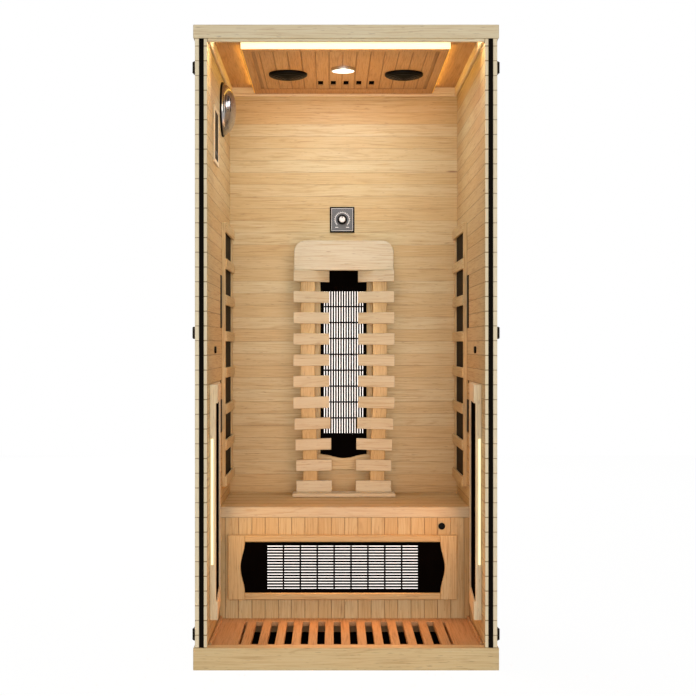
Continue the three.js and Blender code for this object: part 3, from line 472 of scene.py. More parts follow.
# painted glow: the heater elements' emission makes them read bright white, though the heaters are no lamps
ceramic = speckled("white ceramic coat", {
    "dark": "#f1eeea", "light": "#fdfcfa", "grit": 0.002, "cloud": 0.05, "smooth": 0.4, "rough": 0.55, "relief": 0.05,
    "glow": "#fffaf6", "power": 0.9})
coveDiffuser = speckled("opal acrylic diffuser", {
    "dark": "#f6f3dd", "light": "#fdfbe9", "grit": 0.002, "cloud": 0.05, "smooth": 0.4, "rough": 0.6, "relief": 0.05,
    "glow": "#fdf3bd", "power": 0.85})
amberDiffuser = speckled("amber acrylic diffuser", {
    "dark": "#d9a94c", "light": "#e6bb62", "grit": 0.002, "cloud": 0.05, "smooth": 0.4, "rough": 0.6, "relief": 0.05,
    "glow": "#e8b048", "power": 0.45})
lampLens = speckled("frosted lamp glass", {
    "dark": "#fbf8f2", "light": "#ffffff", "grit": 0.002, "cloud": 0.05, "smooth": 0.3, "rough": 0.5, "relief": 0.05,
    "glow": "#fffaf0", "power": 1.2})
blackAbs = speckled("moulded black ABS", {
    "dark": "#080706", "light": "#0e0d0c", "grit": 0.0009, "cloud": 0.03, "smooth": 0.38, "rough": 0.55, "relief": 0.25,
    "gloss": 0.06})
greyAbs = speckled("painted grey ABS", {
    "dark": "#56585b", "light": "#626467", "grit": 0.0009, "cloud": 0.03, "smooth": 0.35, "rough": 0.5, "relief": 0.15})
whiteAbs = speckled("moulded white ABS", {
    "dark": "#f4f3f0", "light": "#fefdfb", "grit": 0.0009, "cloud": 0.03, "smooth": 0.35, "rough": 0.5, "relief": 0.15})
chromed = speckled("chromed steel", {
    "dark": "#c2c4c5", "light": "#d3d5d6", "grit": 0.004, "cloud": 0.03, "smooth": 0.12, "rough": 0.2, "relief": 0.02,
    "metal": 1.0})
satinSteel = speckled("satin plated steel", {
    "dark": "#9a9794", "light": "#adaaa7", "grit": 0.004, "cloud": 0.08, "smooth": 0.20, "rough": 0.24, "relief": 0.0,
    "metal": 0.85})
bronzed = speckled("bronzed steel", {
    "dark": "#0d0805", "light": "#20150e", "grit": 0.0015, "cloud": 0.012, "smooth": 0.3, "rough": 0.5, "relief": 0.1,
    "metal": 0.4, "gloss": 0.2})
print("materials made:", len(bpy.data.materials))

# Base and floor

baseLook = {"rail": 0.041, "edge": 0.0016, "bead": 0.009, "beadGap": 0.001}


def makeBase():
    low, high = box("base_frame")
    rail, edge = baseLook["rail"], baseLook["edge"]
    parts = []
    for front, back in ((low[1], low[1] + rail), (high[1] - rail, high[1])):
        parts.append(plank(setAxis(low, y=front), setAxis(high, y=back), alongX, edge=edge, tone=0.5))
    for left, right in ((low[0], low[0] + rail), (high[0] - rail, high[0])):
        a = setAxis(low, x=left, y=low[1] + rail)
        parts.append(plank(a, setAxis(high, x=right, y=high[1] - rail), alongY, edge=edge))
    makePiece("baseFrame", parts, honeyHemlock, ["base_frame"])
    dressNode("base_pan", plywood)
    dressNode("floor_heater", enamel)
    nodeCopy("floorGrate", "floor_grate", darkWarmHemlock, "hemlock", "floor_grate", 0.0012, along=alongY, tone=0.35)
    low, high = box("floor_grate")
    bead, gap = baseLook["bead"], baseLook["beadGap"]
    beads = []
    for left in (low[0] + gap, high[0] - gap - bead):
        a, b = [left, low[1] + gap, high[2] - gap], [left + bead, high[1] - gap, high[2] + bead]
        beads.append(plank(a, b, alongY, edge=0.003, tone=0.3))
    makePiece("floorBeads", beads, darkWarmHemlock, (), "floor_grate")


makeBase()

# Walls

wallLook = {
    "pitch": 0.04335, "firstJoint": 0.037,  # boards and the lowest joint
    "skin": 0.012, "batten": 0.040, "seal": 0.0183,
    "sideEdge": 0.0012, "sideJoint": 1.0, "backEdge": 0.0006, "backJoint": 0.7,
}


def battens(low, high, along):
    # a ring of four battens in the wall's cavity, two along and two upright
    wide = wallLook["batten"]
    parts = []
    for bottom, top in ((low[2], low[2] + wide), (high[2] - wide, high[2])):
        parts.append(plank(setAxis(low, z=bottom), setAxis(high, z=top), along))
    for start, stop in ((low[along], low[along] + wide), (high[along] - wide, high[along])):
        a, b = setAxis(low, z=low[2] + wide), setAxis(high, z=high[2] - wide)
        a[along], b[along] = start, stop
        parts.append(plank(a, b, alongZ))
    return parts


def makeWalls():
    look = {"edge": wallLook["sideEdge"], "joint": wallLook["sideJoint"]}
    for side, label in ((-1, "left"), (1, "right")):
        low, high = box(f"{label}_outer_panel")
        edges = boardEdges(low[2], high[2], wallLook["firstJoint"], wallLook["pitch"])
        inner = low[0] + wallLook["skin"] if side < 0 else high[0] - wallLook["skin"]
        skin = (low, setAxis(high, x=inner)) if side < 0 else (setAxis(low, x=inner), high)
        cavity = (setAxis(low, x=inner), high) if side < 0 else (low, setAxis(high, x=inner))
        frontEdge = low[1] + wallLook["seal"]
        parts = boarding(*skin, 2, alongY, edges, **look)
        parts += battens(setAxis(cavity[0], y=frontEdge), cavity[1], alongY)
        makePiece(f"{label}OuterPanel", parts, sapwood, [f"{label}_outer_panel"])
        low, high = box(f"{label}_inner_lining")
        parts = boarding(low, high, 2, alongY, edges, **look)
        makePiece(f"{label}InnerLining", parts, hemlock, [f"{label}_inner_lining"])
        dressNode(f"{label}_groove_seal", foamRubber)
    low, high = box("back_outer_panel")
    inner = high[1] - wallLook["skin"]
    parts = boarding(setAxis(low, y=inner), high, 2, alongX, edges, **look)
    parts += battens(low, setAxis(high, y=inner), alongX)
    makePiece("backOuterPanel", parts, sapwood, ["back_outer_panel"])
    low, high = box("back_inner_lining")
    parts = boarding(low, high, 2, alongX, edges, edge=wallLook["backEdge"], joint=wallLook["backJoint"])
    makePiece("backInnerLining", parts, hemlock, ["back_inner_lining"])


makeWalls()
print("base and walls made")

# Roof and ceiling

roofLook = {
    "sheet": 0.016, "height": 0.040, "lipWidth": 0.009, "recess": 0.002, "lipGap": 0.0413,
    "topPitch": 0.0867, "edge": 0.0016, "bead": 0.003, "lining": 0.003, "liningGap": 0.001,
}
ceilingLook = {
    # tone is the ceiling's dark tone, painted shade; joint is how dark its grooves are painted, as dark joints, and its
    # channel beside the border, as painted shade
    "border": 0.026, "borderProud": 0.002, "firstJoint": 0.023, "bevel": 0.0008, "tone": 0.75, "strip": 0.004,
    "joint": 0.6, "deepest": 0.006,
    "vent": (0.0176, 0.0776, 0.002), "ventPitch": 0.044, "ventX": 0.007, "ventY": 0.220, "ventZ": 1.866,
}


def makeRoof():
    low, high = box("roof_tray")
    under = high[2] - roofLook["height"]
    lip, edge = roofLook["lipWidth"], roofLook["edge"]
    lipOut = high[0] - roofLook["lipGap"]  # outer faces of the lip, at the sides and the back
    lipIn = lipOut - lip
    frontOut = low[1] + roofLook["recess"]
    frontIn = frontOut + lip
    rails = setAxis(low, z=under)
    parts = [
        plank(rails, setAxis(high, y=frontIn), alongX, edge=edge, tone=0.2),
        plank(setAxis(rails, y=lipIn), high, alongX, edge=edge),
    ]
    lipLow, lipHigh = low[2], under
    bead = roofLook["bead"]
    parts.append(plank([-lipOut, frontOut, lipLow], [lipOut, frontIn, lipHigh], alongX, edge=bead, tone=0.2))
    parts.append(plank([-lipOut, lipIn, lipLow], [lipOut, lipOut, lipHigh], alongX, edge=bead))
    for side in (-1, 1):
        near, far = sorted((side * lipIn, side * high[0]))
        parts.append(plank([near, frontIn, under], [far, lipIn, high[2]], alongY, edge=edge))
        near, far = sorted((side * lipIn, side * lipOut))
        parts.append(plank([near, frontIn, lipLow], [far, lipIn, lipHigh], alongY, edge=bead))
    sheetLow = [-lipIn, frontIn, high[2] - roofLook["sheet"]]
    edges = boardEdges(frontIn, lipIn, roofLook["topPitch"], roofLook["topPitch"])
    parts += boarding(sheetLow, [lipIn, lipIn, high[2]], 1, alongX, edges, edge=0.0008, joint=1.0)
    makePiece("roofTray", parts, sapwood, ["roof_tray"])
    # the cove lining is a thin sheet of the darker warm hemlock under the roof's boards: painted shade and painted
    # golden light from the cove
    lightLow, lightHigh = box("cove_light")
    gap = roofLook["liningGap"]
    bottom, top = sheetLow[2] - roofLook["lining"], sheetLow[2]
    front = lightLow[1] - gap
    lining = [plank([-lipIn, frontIn, bottom], [lipIn, front, top], alongX, tone=0.5)]
    for near, far in ((-lipIn, lightLow[0] - gap), (lightHigh[0] + gap, lipIn)):
        lining.append(plank([near, front, bottom], [far, lipIn, top], alongY, tone=0.5))
    makePiece("coveShadeLining", lining, darkWarmHemlock)

    # the ceiling panel is in the darker warm hemlock at a dark tone: painted shade under the roof; its grooves take the
    # joint colour as dark joints, and the channel beside its border as painted shade
    low, high = box("ceiling_panel")
    first = low[0] + ceilingLook["border"] + ceilingLook["firstJoint"]
    last = high[0] - ceilingLook["border"]
    joints = np.concatenate([[low[0] + ceilingLook["border"]], np.arange(first, last, wallLook["pitch"]), [last]])
    groove = low[2] + np.array([0.0002, ceilingLook["borderProud"] + 0.0005, ceilingLook["deepest"]])
    nodeCopy("ceilingPanel", "ceiling_panel", darkWarmHemlock, "hemlock", bevel=ceilingLook["bevel"],
             along=alongY, tone=ceilingLook["tone"], boards=(0, joints),
             groove=groove.tolist(), joint=ceilingLook["joint"])

    low, high = box("cove_light")
    strip = ceilingLook["strip"]
    bar = plank(low, setAxis(high, y=low[1] + strip), alongX, edge=0.0008)
    sides = [
        plank(setAxis(low, y=low[1] + strip), setAxis(high, x=low[0] + strip), alongY, edge=0.0008),
        plank(setAxis(low, x=high[0] - strip, y=low[1] + strip), high, alongY, edge=0.0008),
    ]
    makePiece("coveBar", [bar], coveDiffuser, ["cove_light"])
    makePiece("coveSides", sides, amberDiffuser)
    screens = []
    for x in ceilingLook["ventX"] + (np.arange(5) - 2) * ceilingLook["ventPitch"]:
        half = np.array(ceilingLook["vent"]) / 2
        middle = np.array([x, ceilingLook["ventY"], ceilingLook["ventZ"]])
        screens.append(plank(middle - half, middle + half, alongY, edge=0.0003))
    makePiece("ventScreens", screens, enamel)


makeRoof()

speakerLook = {"rim": 0.005, "ribs": 6, "rib": 0.0007, "neck": 0.018}


def makeSpeaker(label):
    # a bowed face, an ellipse in section, with fine rings; the neck goes up into the ceiling
    low, high = box(f"speaker_{label}")
    middle = (low + high) / 2
    radius = (high[0] - low[0]) / 2
    rim, rib = speakerLook["rim"], speakerLook["rib"]
    bow = high[2] - low[2] - speakerLook["neck"] - rim - rib
    angle = np.radians(np.linspace(90, 1, 72))
    share = np.sin(angle)
    ripple = rib * np.cos(share * speakerLook["ribs"] * 2 * math.pi) * (1 - share ** 6)
    face = np.column_stack([radius * share, rim + bow * np.cos(angle) + ripple])
    neck = [[radius - 0.0105, -speakerLook["neck"]], [radius - 0.0105, 0.0004], [radius, 0.0004]]
    origin = [middle[0], middle[1], high[2] - speakerLook["neck"]]
    part = turned(np.concatenate([neck, face]), faceDown, origin, 64)
    makePiece(f"speaker{label.title()}", [part], blackAbs, [f"speaker_{label}"], smooth=35)


lampLook = {"lens": 0.0362, "neck": 0.018, "dome": 0.003}


def makeLamp():
    # chromed ring with a low domed lens that fills its face
    low, high = box("ceiling_lamp")
    middle = (low + high) / 2
    radius = (high[0] - low[0]) / 2
    proud = high[2] - low[2] - lampLook["neck"]
    lens, dome = lampLook["lens"], lampLook["dome"]
    rimTop = proud - dome
    rim = quarterRound(radius, rimTop, 0.0025)
    neck = [[radius - 0.0105, -lampLook["neck"]], [radius - 0.0105, 0.0004], [radius, 0.0004]]
    inner = [[lens, rimTop], [lens, rimTop - 0.003]]
    origin = [middle[0], middle[1], high[2] - lampLook["neck"]]
    ring = turned(np.concatenate([neck, rim, inner]), faceDown, origin, 64)
    makePiece("lampRing", [ring], chromed, ["ceiling_lamp"], smooth=35)
    share = np.linspace(1, 0.03, 8)
    glass = np.column_stack([share * (lens - 0.0002), proud - dome * share ** 2])
    base = [[lens - 0.0002, rimTop - 0.0028]]
    part = turned(np.concatenate([base, glass]), faceDown, origin, 48)
    makePiece("lampLens", [part], lampLens, smooth=35)


for label in ("left", "right"):
    makeSpeaker(label)
makeLamp()
print("roof and ceiling made")

# Bench

benchLook = {"firstJoint": 0.01855, "seatPitch": 0.086, "railEdge": 0.003}


def makeBench():
    low, high = box("bench_rail")
    rail = plank(low, high, alongX, edge=benchLook["railEdge"], tone=0.6)
    makePiece("benchRail", [rail], clearHemlock, ["bench_rail"])
    low, high = box("bench_front")
    edges = boardEdges(low[0], high[0], benchLook["firstJoint"], wallLook["pitch"])
    parts = boarding(low, high, 0, alongZ, edges, edge=0.0014, joint=1.0)
    makePiece("benchFront", parts, hemlock, ["bench_front"])
    low, high = box("bench_seat")
    edges = boardEdges(low[1], high[1], benchLook["seatPitch"], benchLook["seatPitch"])
    parts = boarding(low, high, 1, alongX, edges, edge=0.006, joint=1.3)
    makePiece("benchSeat", parts, hemlock, ["bench_seat"])
    dressNode("bench_cleats", plywood)
    dressNode("power_unit", blackAbs)


makeBench()

# Heaters

heaterLook = {
    "end": 0.054, "window": 0.166, "bulge": 0.014, "edge": 0.0025,
    "bays": 9, "plainShare": 0.0948, "bayHeight": 0.146, "bar": 0.005, "rows": 16, "wire": (0.0060, 0.0014),
}


def heaterUnit(label, name, lengthAxis):
    # worked out lying along x and then turned to the unit's own axis
    low, high = box(f"{label}_frame")
    middle = (low + high) / 2
    length = high[lengthAxis] - low[lengthAxis]
    height = high[2 - lengthAxis] - low[2 - lengthAxis]
    depth = high[1] - low[1]
    axes = faceFront if lengthAxis == 0 else [[0, 0, 1], [-1, 0, 0], [0, -1, 0]]
    back = [middle[0], high[1], middle[2]]
    window, half = heaterLook["window"] / 2, length / 2
    inside = half - heaterLook["end"]
    bow = np.linspace(-window, window, 25)
    bulge = inside + heaterLook["bulge"] * (0.5 + 0.5 * np.cos(bow / window * math.pi))
    turn = 0 if lengthAxis == 0 else 2
    parts = []
    for end in (-1, 1):
        edgePoints = np.column_stack([bulge, bow])
        block = [[inside, -height / 2], [half, -height / 2], [half, height / 2], [inside, height / 2]]
        outline = np.concatenate([block, edgePoints[::-1]]) * [end, 1]
        parts.append(slab(outline[::end], depth, 0.0015, axes, back, along=2 - turn))
    for side in (-1, 1):
        near, far = sorted((side * window, side * height / 2))
        strip = [[-inside, near], [inside, near], [inside, far], [-inside, far]]
        parts.append(slab(strip, depth, heaterLook["edge"], axes, back, along=turn))
    makePiece(f"{name}Frame", parts, hemlock, [f"{label}_frame"])

    low, high = box(f"{label}_guard")
    thick = high[1] - low[1]
    back = [middle[0], high[1], middle[2]]
    gap = 0.0004
    plain = inside - heaterLook["plainShare"] * length
    parts = []
    for end in (-1, 1):
        edgePoints = np.column_stack([bulge - gap, bow * (1 - gap / window)])
        plate = np.concatenate([[[plain, -window + gap]], edgePoints, [[plain, window - gap]]]) * [end, 1]
        parts.append(slab(plate[::end], thick, 0.0004, axes, back))
    bay = heaterLook["bayHeight"] / 2
    for side in (-1, 1):
        near, far = sorted((side * bay, side * (window - gap)))
        strip = [[-plain, near], [plain, near], [plain, far], [-plain, far]]
        parts.append(slab(strip, thick, 0.0004, axes, back))
    bar = heaterLook["bar"] / 2
    for middleBar in np.linspace(-plain, plain, heaterLook["bays"] + 1):
        parts.append(slab(rectangle(bar, bay, middleBar), thick, 0.0006, axes, back))
    wide, deep = heaterLook["wire"]
    wireBack = setAxis(back, y=back[1] - 0.4 * thick)
    for row in np.linspace(-bay, bay, heaterLook["rows"] + 1):
        parts.append(slab(rectangle(plain, wide / 2, 0, row), deep, 0.0003, axes, wireBack))
    makePiece(f"{name}Guard", parts, enamel, [f"{label}_guard"])
    # the elements take the ceramic coat with its painted glow
    dressNode(f"{label}_element", ceramic)


heaterUnit("leg_heater", "legHeater", 0)
heaterUnit("back_heater", "backHeater", 2)

calfLook = {"edge": 0.0015, "tone": 0.35}
latticeLook = {"post": 0.030, "postProud": 0.011, "slats": 8, "slat": 0.034, "edge": 0.0022}


def makeSideHeaters(side, label):
    title = label.title()
    nodeCopy(f"calfHeaterFrame{title}", f"calf_heater_frame_{label}", sapwood, "hemlock",
             bevel=calfLook["edge"], along=alongZ, tone=calfLook["tone"])
    dressNode(f"calf_heater_panel_{label}", enamel)
    dressNode(f"calf_light_{label}", coveDiffuser)

    low, high = box(f"side_lattice_{label}")
    post, edge = latticeLook["post"], latticeLook["edge"]
    wall = high[0] if side > 0 else low[0]
    shelf = wall - side * latticeLook["postProud"]
    inner = low[0] if side > 0 else high[0]
    postX = sorted((wall, shelf))
    slatX = sorted((shelf + side * 0.001, inner))
    parts = []
    for front, back in ((low[1], low[1] + post), (high[1] - post, high[1])):
        parts.append(plank([postX[0], front, low[2]], [postX[1], back, high[2]], alongZ, edge=0.0012, tone=0.6))
    starts = np.linspace(low[2], high[2] - latticeLook["slat"], latticeLook["slats"])
    for start in starts:
        a, b = [slatX[0], low[1], start], [slatX[1], high[1], start + latticeLook["slat"]]
        parts.append(plank(a, b, alongY, edge=edge, tone=random.uniform(0.2, 0.6)))
    makePiece(f"sideLattice{title}", parts, hemlock, [f"side_lattice_{label}"])
    dressNode(f"side_heater_{label}", carbonPanel)


makeSideHeaters(-1, "left")
makeSideHeaters(1, "right")
print("bench and heaters made")

# Backrest

backrestLook = {
    "rows": 11, "slatHeight": 0.0395, "slat": 0.018, "span": 0.125, "gap": 0.102, "edge": 0.0014,
    "turn": 28.0, "easeRows": 3,  # slats below this row turn less
    "tuck": 0.009, "tuckRows": 4,  # slats and uprights bend in below this row
    "upright": 0.050, "uprightThick": 0.022, "inset": 0.024, "lumbar": 0.034, "uprightEdge": 0.0018,
    "headCorner": 0.042, "headEdge": 0.0025,
}


def makeBackrest():
    # the uprights bow forward by a sine squared of their height and bend in towards their feet
    look = backrestLook
    footLow, footHigh = box("backrest_foot_rail")
    foot = plank(footLow, footHigh, alongX, edge=0.002, tone=0.4)
    makePiece("backrestFootRail", [foot], clearHemlock, ["backrest_foot_rail"], "backrest")
    low, high = box("backrest_left_ladder")
    bottom, top = low[2], high[2]
    rows = np.linspace(bottom, top - look["slatHeight"], look["rows"]) + look["slatHeight"] / 2
    pitch = rows[1] - rows[0]
    restY = footHigh[1] - look["uprightThick"]
    frontAt = lambda z: restY - look["lumbar"] * np.sin(math.pi * (z - bottom) / (top - bottom)) ** 2
    tuckAt = lambda z: look["tuck"] * (1 - np.clip((z - rows[0]) / pitch / look["tuckRows"], 0, 1) ** 2)
    heights = np.linspace(bottom, top, 45)
    uprightX = look["gap"] / 2 + look["span"] - look["inset"] - look["upright"] / 2
    profile = roundedRectangle([look["upright"] / 2, look["uprightThick"] / 2], look["uprightEdge"])
    for side, label in ((-1, "left"), (1, "right")):
        x = side * (uprightX - tuckAt(heights))
        path = np.column_stack([x, frontAt(heights) + look["uprightThick"] / 2, heights])
        # painted shade: the uprights take the darkest tone, for the shade that the slats cast on them
        upright = grained(swept(path, profile, [1, 0, 0]), alongZ, tone=1.0)
        makePiece(f"backrest{label.title()}Upright", [upright], hemlock, (), "backrest")
        parts = []
        for row, z in enumerate(rows):
            turn = math.radians(look["turn"]) * min(1, row / look["easeRows"])
            x = side * ((look["gap"] + look["span"]) / 2 - tuckAt(z))
            middle = np.array([x, frontAt(z), z])
            half = np.array([look["span"], look["slat"] / math.cos(turn), look["slatHeight"]]) / 2
            slide = -side * math.tan(turn)
            tone = random.uniform(0, 0.6)
            parts.append(plank(middle - half, middle + half, alongX, look["edge"], shear=slide, tone=tone))
        name = f"backrest{label.title()}Ladder"
        makePiece(name, parts, clearHemlock, [f"backrest_{label}_ladder"], "backrest")
    low, high = box("backrest_headrest")
    corner = look["headCorner"]
    half, tall = high[0], high[2] - low[2]
    angle = np.radians(np.linspace(0, 90, 12))
    arc = np.column_stack([half - corner + corner * np.cos(angle), tall - corner + corner * np.sin(angle)])
    outline = np.concatenate([[[half, 0]], arc, (arc * [-1, 1])[::-1], [[-half, 0]]])
    head = slab(outline, high[1] - low[1], look["headEdge"], faceFront, [0, high[1], low[2]], along=alongX, tone=0.15)
    makePiece("backrestHeadrest", [head], clearHemlock, ["backrest_headrest"], "backrest")


makeBackrest()
print("backrest made")

# Controls

dialLook = {
    "border": 0.0055, "ring": 0.0178, "cap": 0.0108, "ticks": 21, "tick": (0.0016, 0.0006), "tickRadius": 0.0275,
    "sweep": 270.0, "arcRadius": 0.0245, "bar": (0.0055, 0.0010), "barPlace": (0.0195, -0.0275), "line": 0.0012,
}


def makeDial():
    low, high = box("dial_plate")
    middle = (low + high) / 2
    thick = high[1] - low[1]
    halfWidth, halfHeight = (high[0] - low[0]) / 2, (high[2] - low[2]) / 2
    back = [middle[0], high[1], middle[2]]
    border = dialLook["border"]
    rim = slab(rectangle(halfWidth, halfHeight), thick * 0.75, 0.0012, faceFront, back)
    makePiece("dialSurround", [rim], blackAbs)
    face = slab(rectangle(halfWidth - border, halfHeight - border), thick, 0.001, faceFront, back)
    makePiece("dialPlate", [face], greyAbs, ["dial_plate"])
    printed = [back[0], low[1] + 0.0001, back[2]]
    marks = []
    angles = np.radians(np.linspace(-dialLook["sweep"] / 2, dialLook["sweep"] / 2, dialLook["ticks"]))
    for angle in angles:
        turn = np.array([[math.cos(angle), -math.sin(angle)], [math.sin(angle), math.cos(angle)]])
        tick = rectangle(dialLook["tick"][1], dialLook["tick"][0], 0, dialLook["tickRadius"]) @ turn
        marks.append(slab(tick, 0.0003, 0.00005, faceFront, printed))
    arc = dialLook["arcRadius"] * np.column_stack([np.sin(angles), np.cos(angles)])
    ring = np.concatenate([arc, 1.06 * arc[::-1]])[::-1]
    marks.append(slab(ring, 0.0003, 0.00005, faceFront, printed))
    for side in (-1, 1):
        x, y = dialLook["barPlace"]
        marks.append(slab(rectangle(*dialLook["bar"], side * x, y), 0.0003, 0.00005, faceFront, printed))
    halfWidth, halfHeight, fine = halfWidth - border, halfHeight - border, dialLook["line"] / 2
    for side in (-1, 1):
        for half in ([fine, halfHeight, side * (halfWidth - fine), 0], [halfWidth, fine, 0, side * (halfHeight - fine)]):
            marks.append(slab(rectangle(*half), 0.0003, 0.00005, faceFront, printed))
    makePiece("dialMarks", marks, whiteAbs)
    knobLow, knobHigh = box("dial_knob")
    shaftBack = knobHigh[1]
    tip = low[1] - knobLow[1]
    shaft = shaftBack - low[1]
    ring, cap = dialLook["ring"], dialLook["cap"]
    skirt = [[0.004, -shaft], [0.004, 0.0003], [ring, 0.0003], [ring, 0.006], [ring - 0.001, 0.007], [cap + 0.0006, 0.0072]]
    body = turned(skirt + [[cap + 0.0006, tip - 0.005]], faceFront, [middle[0], low[1], middle[2]])
    makePiece("dialKnob", [body], blackAbs, ["dial_knob"], "dial_knob", smooth=35)
    top = np.concatenate([[[cap, 0.0075]], quarterRound(cap, tip - 0.0012, 0.002), [[0.0008, tip - 0.0012]]])
    grip = turned(top, faceFront, [middle[0], low[1], middle[2]])
    pointerBack = [middle[0], knobLow[1] + 0.0012, middle[2]]
    pointer = slab(rectangle(0.0014, 0.0028, 0, 0.0072), 0.0012, 0.0003, faceFront, pointerBack)
    makePiece("dialCap", [grip], whiteAbs, (), "dial_knob", smooth=35)
    makePiece("dialPointer", [pointer], blackAbs, (), "dial_knob")


makeDial()

controlLook = {"border": 0.012, "edge": 0.001, "recess": 0.0015, "keys": 4}


def makeControl():
    low, high = box("control_panel")
    border, edge = controlLook["border"], controlLook["edge"]
    parts = []
    for bottom, top in ((low[2], low[2] + border), (high[2] - border, high[2])):
        parts.append(plank(setAxis(low, z=bottom), setAxis(high, z=top), alongY, edge=edge, tone=0.0))
    for front, back in ((low[1], low[1] + border), (high[1] - border, high[1])):
        a = setAxis(low, y=front, z=low[2] + border)
        parts.append(plank(a, setAxis(high, y=back, z=high[2] - border), alongZ, edge=edge, tone=0.0))
    makePiece("controlFrame", parts, sapwood)
    a = setAxis(low, y=low[1] + border, z=low[2] + border)
    b = setAxis(high, x=high[0] - controlLook["recess"], y=high[1] - border, z=high[2] - border)
    display = plank(a, b, alongZ, edge=0.0006)
    del display["grain"]
    makePiece("controlDisplay", [display], blackAbs, ["control_panel"])
    keys = []
    for place in np.linspace(0.25, 0.75, controlLook["keys"]):
        centre = [b[0], a[1] + (b[1] - a[1]) * place, a[2] + 0.022]
        keys.append(turned([[0.0065, -0.001], [0.0065, 0.0006], [0.0055, 0.0012], [0.0008, 0.0014]], faceRight, centre, 24))
    makePiece("controlKeys", keys, greyAbs, smooth=35)


makeControl()

ionizerLook = {"rim": 0.006, "dome": 0.085, "slots": (0.980, 0.933, 0.854, 0.733), "spread": 26.0}


def makeIonizer():
    low, high = box("ionizer")
    middle = (low + high) / 2
    radius = (high[2] - low[2]) / 2
    proud = high[0] - low[0]
    rim, dome = ionizerLook["rim"], ionizerLook["dome"]
    origin = [low[0], middle[1], middle[2]]
    plate = np.concatenate([[[radius - 0.006, 0]], [[radius, 0]], quarterRound(radius, rim, 0.0015), [[dome - 0.004, rim]]])
    makePiece("ionizerRim", [turned(plate, faceRight, origin, 64)], blackAbs, smooth=35)
    angle = np.linspace(0, math.pi / 2 * 0.985, 24)
    bowl = np.column_stack([dome * np.cos(angle), rim * 0.5 + (proud - rim * 0.5) * np.sin(angle)])
    makePiece("ionizerDome", [turned(bowl, faceRight, origin, 64)], satinSteel, ["ionizer"], smooth=35)
    slots = []
    for ring in ionizerLook["slots"]:
        spread = np.radians(np.linspace(-0.6, 1.0, 24) * ionizerLook["spread"])
        tilt = math.acos(ring)
        out = rim * 0.5 + (proud - rim * 0.5) * math.sin(tilt) + 0.0002
        flat = dome * ring
        path = np.column_stack([np.full(24, out), -flat * np.cos(spread), flat * np.sin(spread)]) + origin
        profile = circle(0.0014, 8) * [1.2, 0.5]
        slots.append(swept(path, profile, [0, 1, 0]))
    makePiece("ionizerSlots", slots, blackAbs, smooth=50)


makeIonizer()

buttonLook = {"stem": 0.0075, "head": 0.005, "chamfer": 0.002, "lens": 0.006}


def makeButton():
    low, high = box("bench_button")
    middle = (low + high) / 2
    radius = (high[0] - low[0]) / 2
    length = high[1] - low[1]
    head = buttonLook["head"]
    face = quarterRound(radius, length, buttonLook["chamfer"])
    dish = [[buttonLook["lens"], length], [buttonLook["lens"] - 0.0006, length - 0.0008], [0.0008, length - 0.0008]]
    stem = [[buttonLook["stem"], 0], [buttonLook["stem"], length - head], [radius, length - head]]
    part = turned(np.concatenate([stem, face, dish]), faceFront, [middle[0], high[1], middle[2]])
    makePiece("benchButton", [part], blackAbs, ["bench_button"], "bench_button", smooth=35)


makeButton()

latchLook = {"bevel": 0.0012}


def makeLatches():
    for side in ("left", "right"):
        for place in ("top", "middle", "bottom"):
            title = side.title() + place.title()
            for kind, body in (("base", "cabin"), ("lever", f"lever_{side}_{place}")):
                name = f"latch{kind.title()}{title}"
                nodeCopy(name, f"latch_{kind}_{side}_{place}", bronzed, "bronze_steel", body, latchLook["bevel"], smooth=30)


makeLatches()

trimLook = {
    "pegRadius": 0.011, "pegProud": 0.006, "pegY": -0.203, "pegZ": 0.942,
    "slitY": (0.008, 0.068), "slitZ": ((1.014, 1.188), (0.669, 0.777)), "slitProud": 0.0015,
    "dotRadius": 0.005, "dotY": 0.010, "dotZ": 0.836,
}


def makeTrim():
    look = trimLook
    leftWall = box("left_inner_lining")[1][0]
    rightWall = box("right_inner_lining")[0][0]
    dark = []
    for wall, side, axes in ((leftWall, -1, faceRight), (rightWall, 1, faceLeft)):
        peg = np.concatenate([[[look["pegRadius"], 0]], quarterRound(look["pegRadius"], look["pegProud"], 0.0015), [[0.001, look["pegProud"]]]])
        dark.append(turned(peg, axes, [wall, look["pegY"], look["pegZ"]], 32))
        dot = np.concatenate([[[look["dotRadius"], 0]], quarterRound(look["dotRadius"], 0.002, 0.001), [[0.0006, 0.002]]])
        dark.append(turned(dot, axes, [wall, look["dotY"], look["dotZ"]], 20))
        for bottom, top in look["slitZ"]:
            near, far = sorted((wall, wall - side * look["slitProud"]))
            strip = plank([near, look["slitY"][0], bottom], [far, look["slitY"][1], top], alongZ, edge=0.0004)
            del strip["grain"]
            dark.append(strip)
    makePiece("wallPegs", dark, blackAbs, smooth=35)


makeTrim()
print("controls and trim made")

# Stage, lights and camera

stageLook = {"floor": "#f4f3f1", "size": 14.0, "showShare": 0.90, "glow": 1.07}


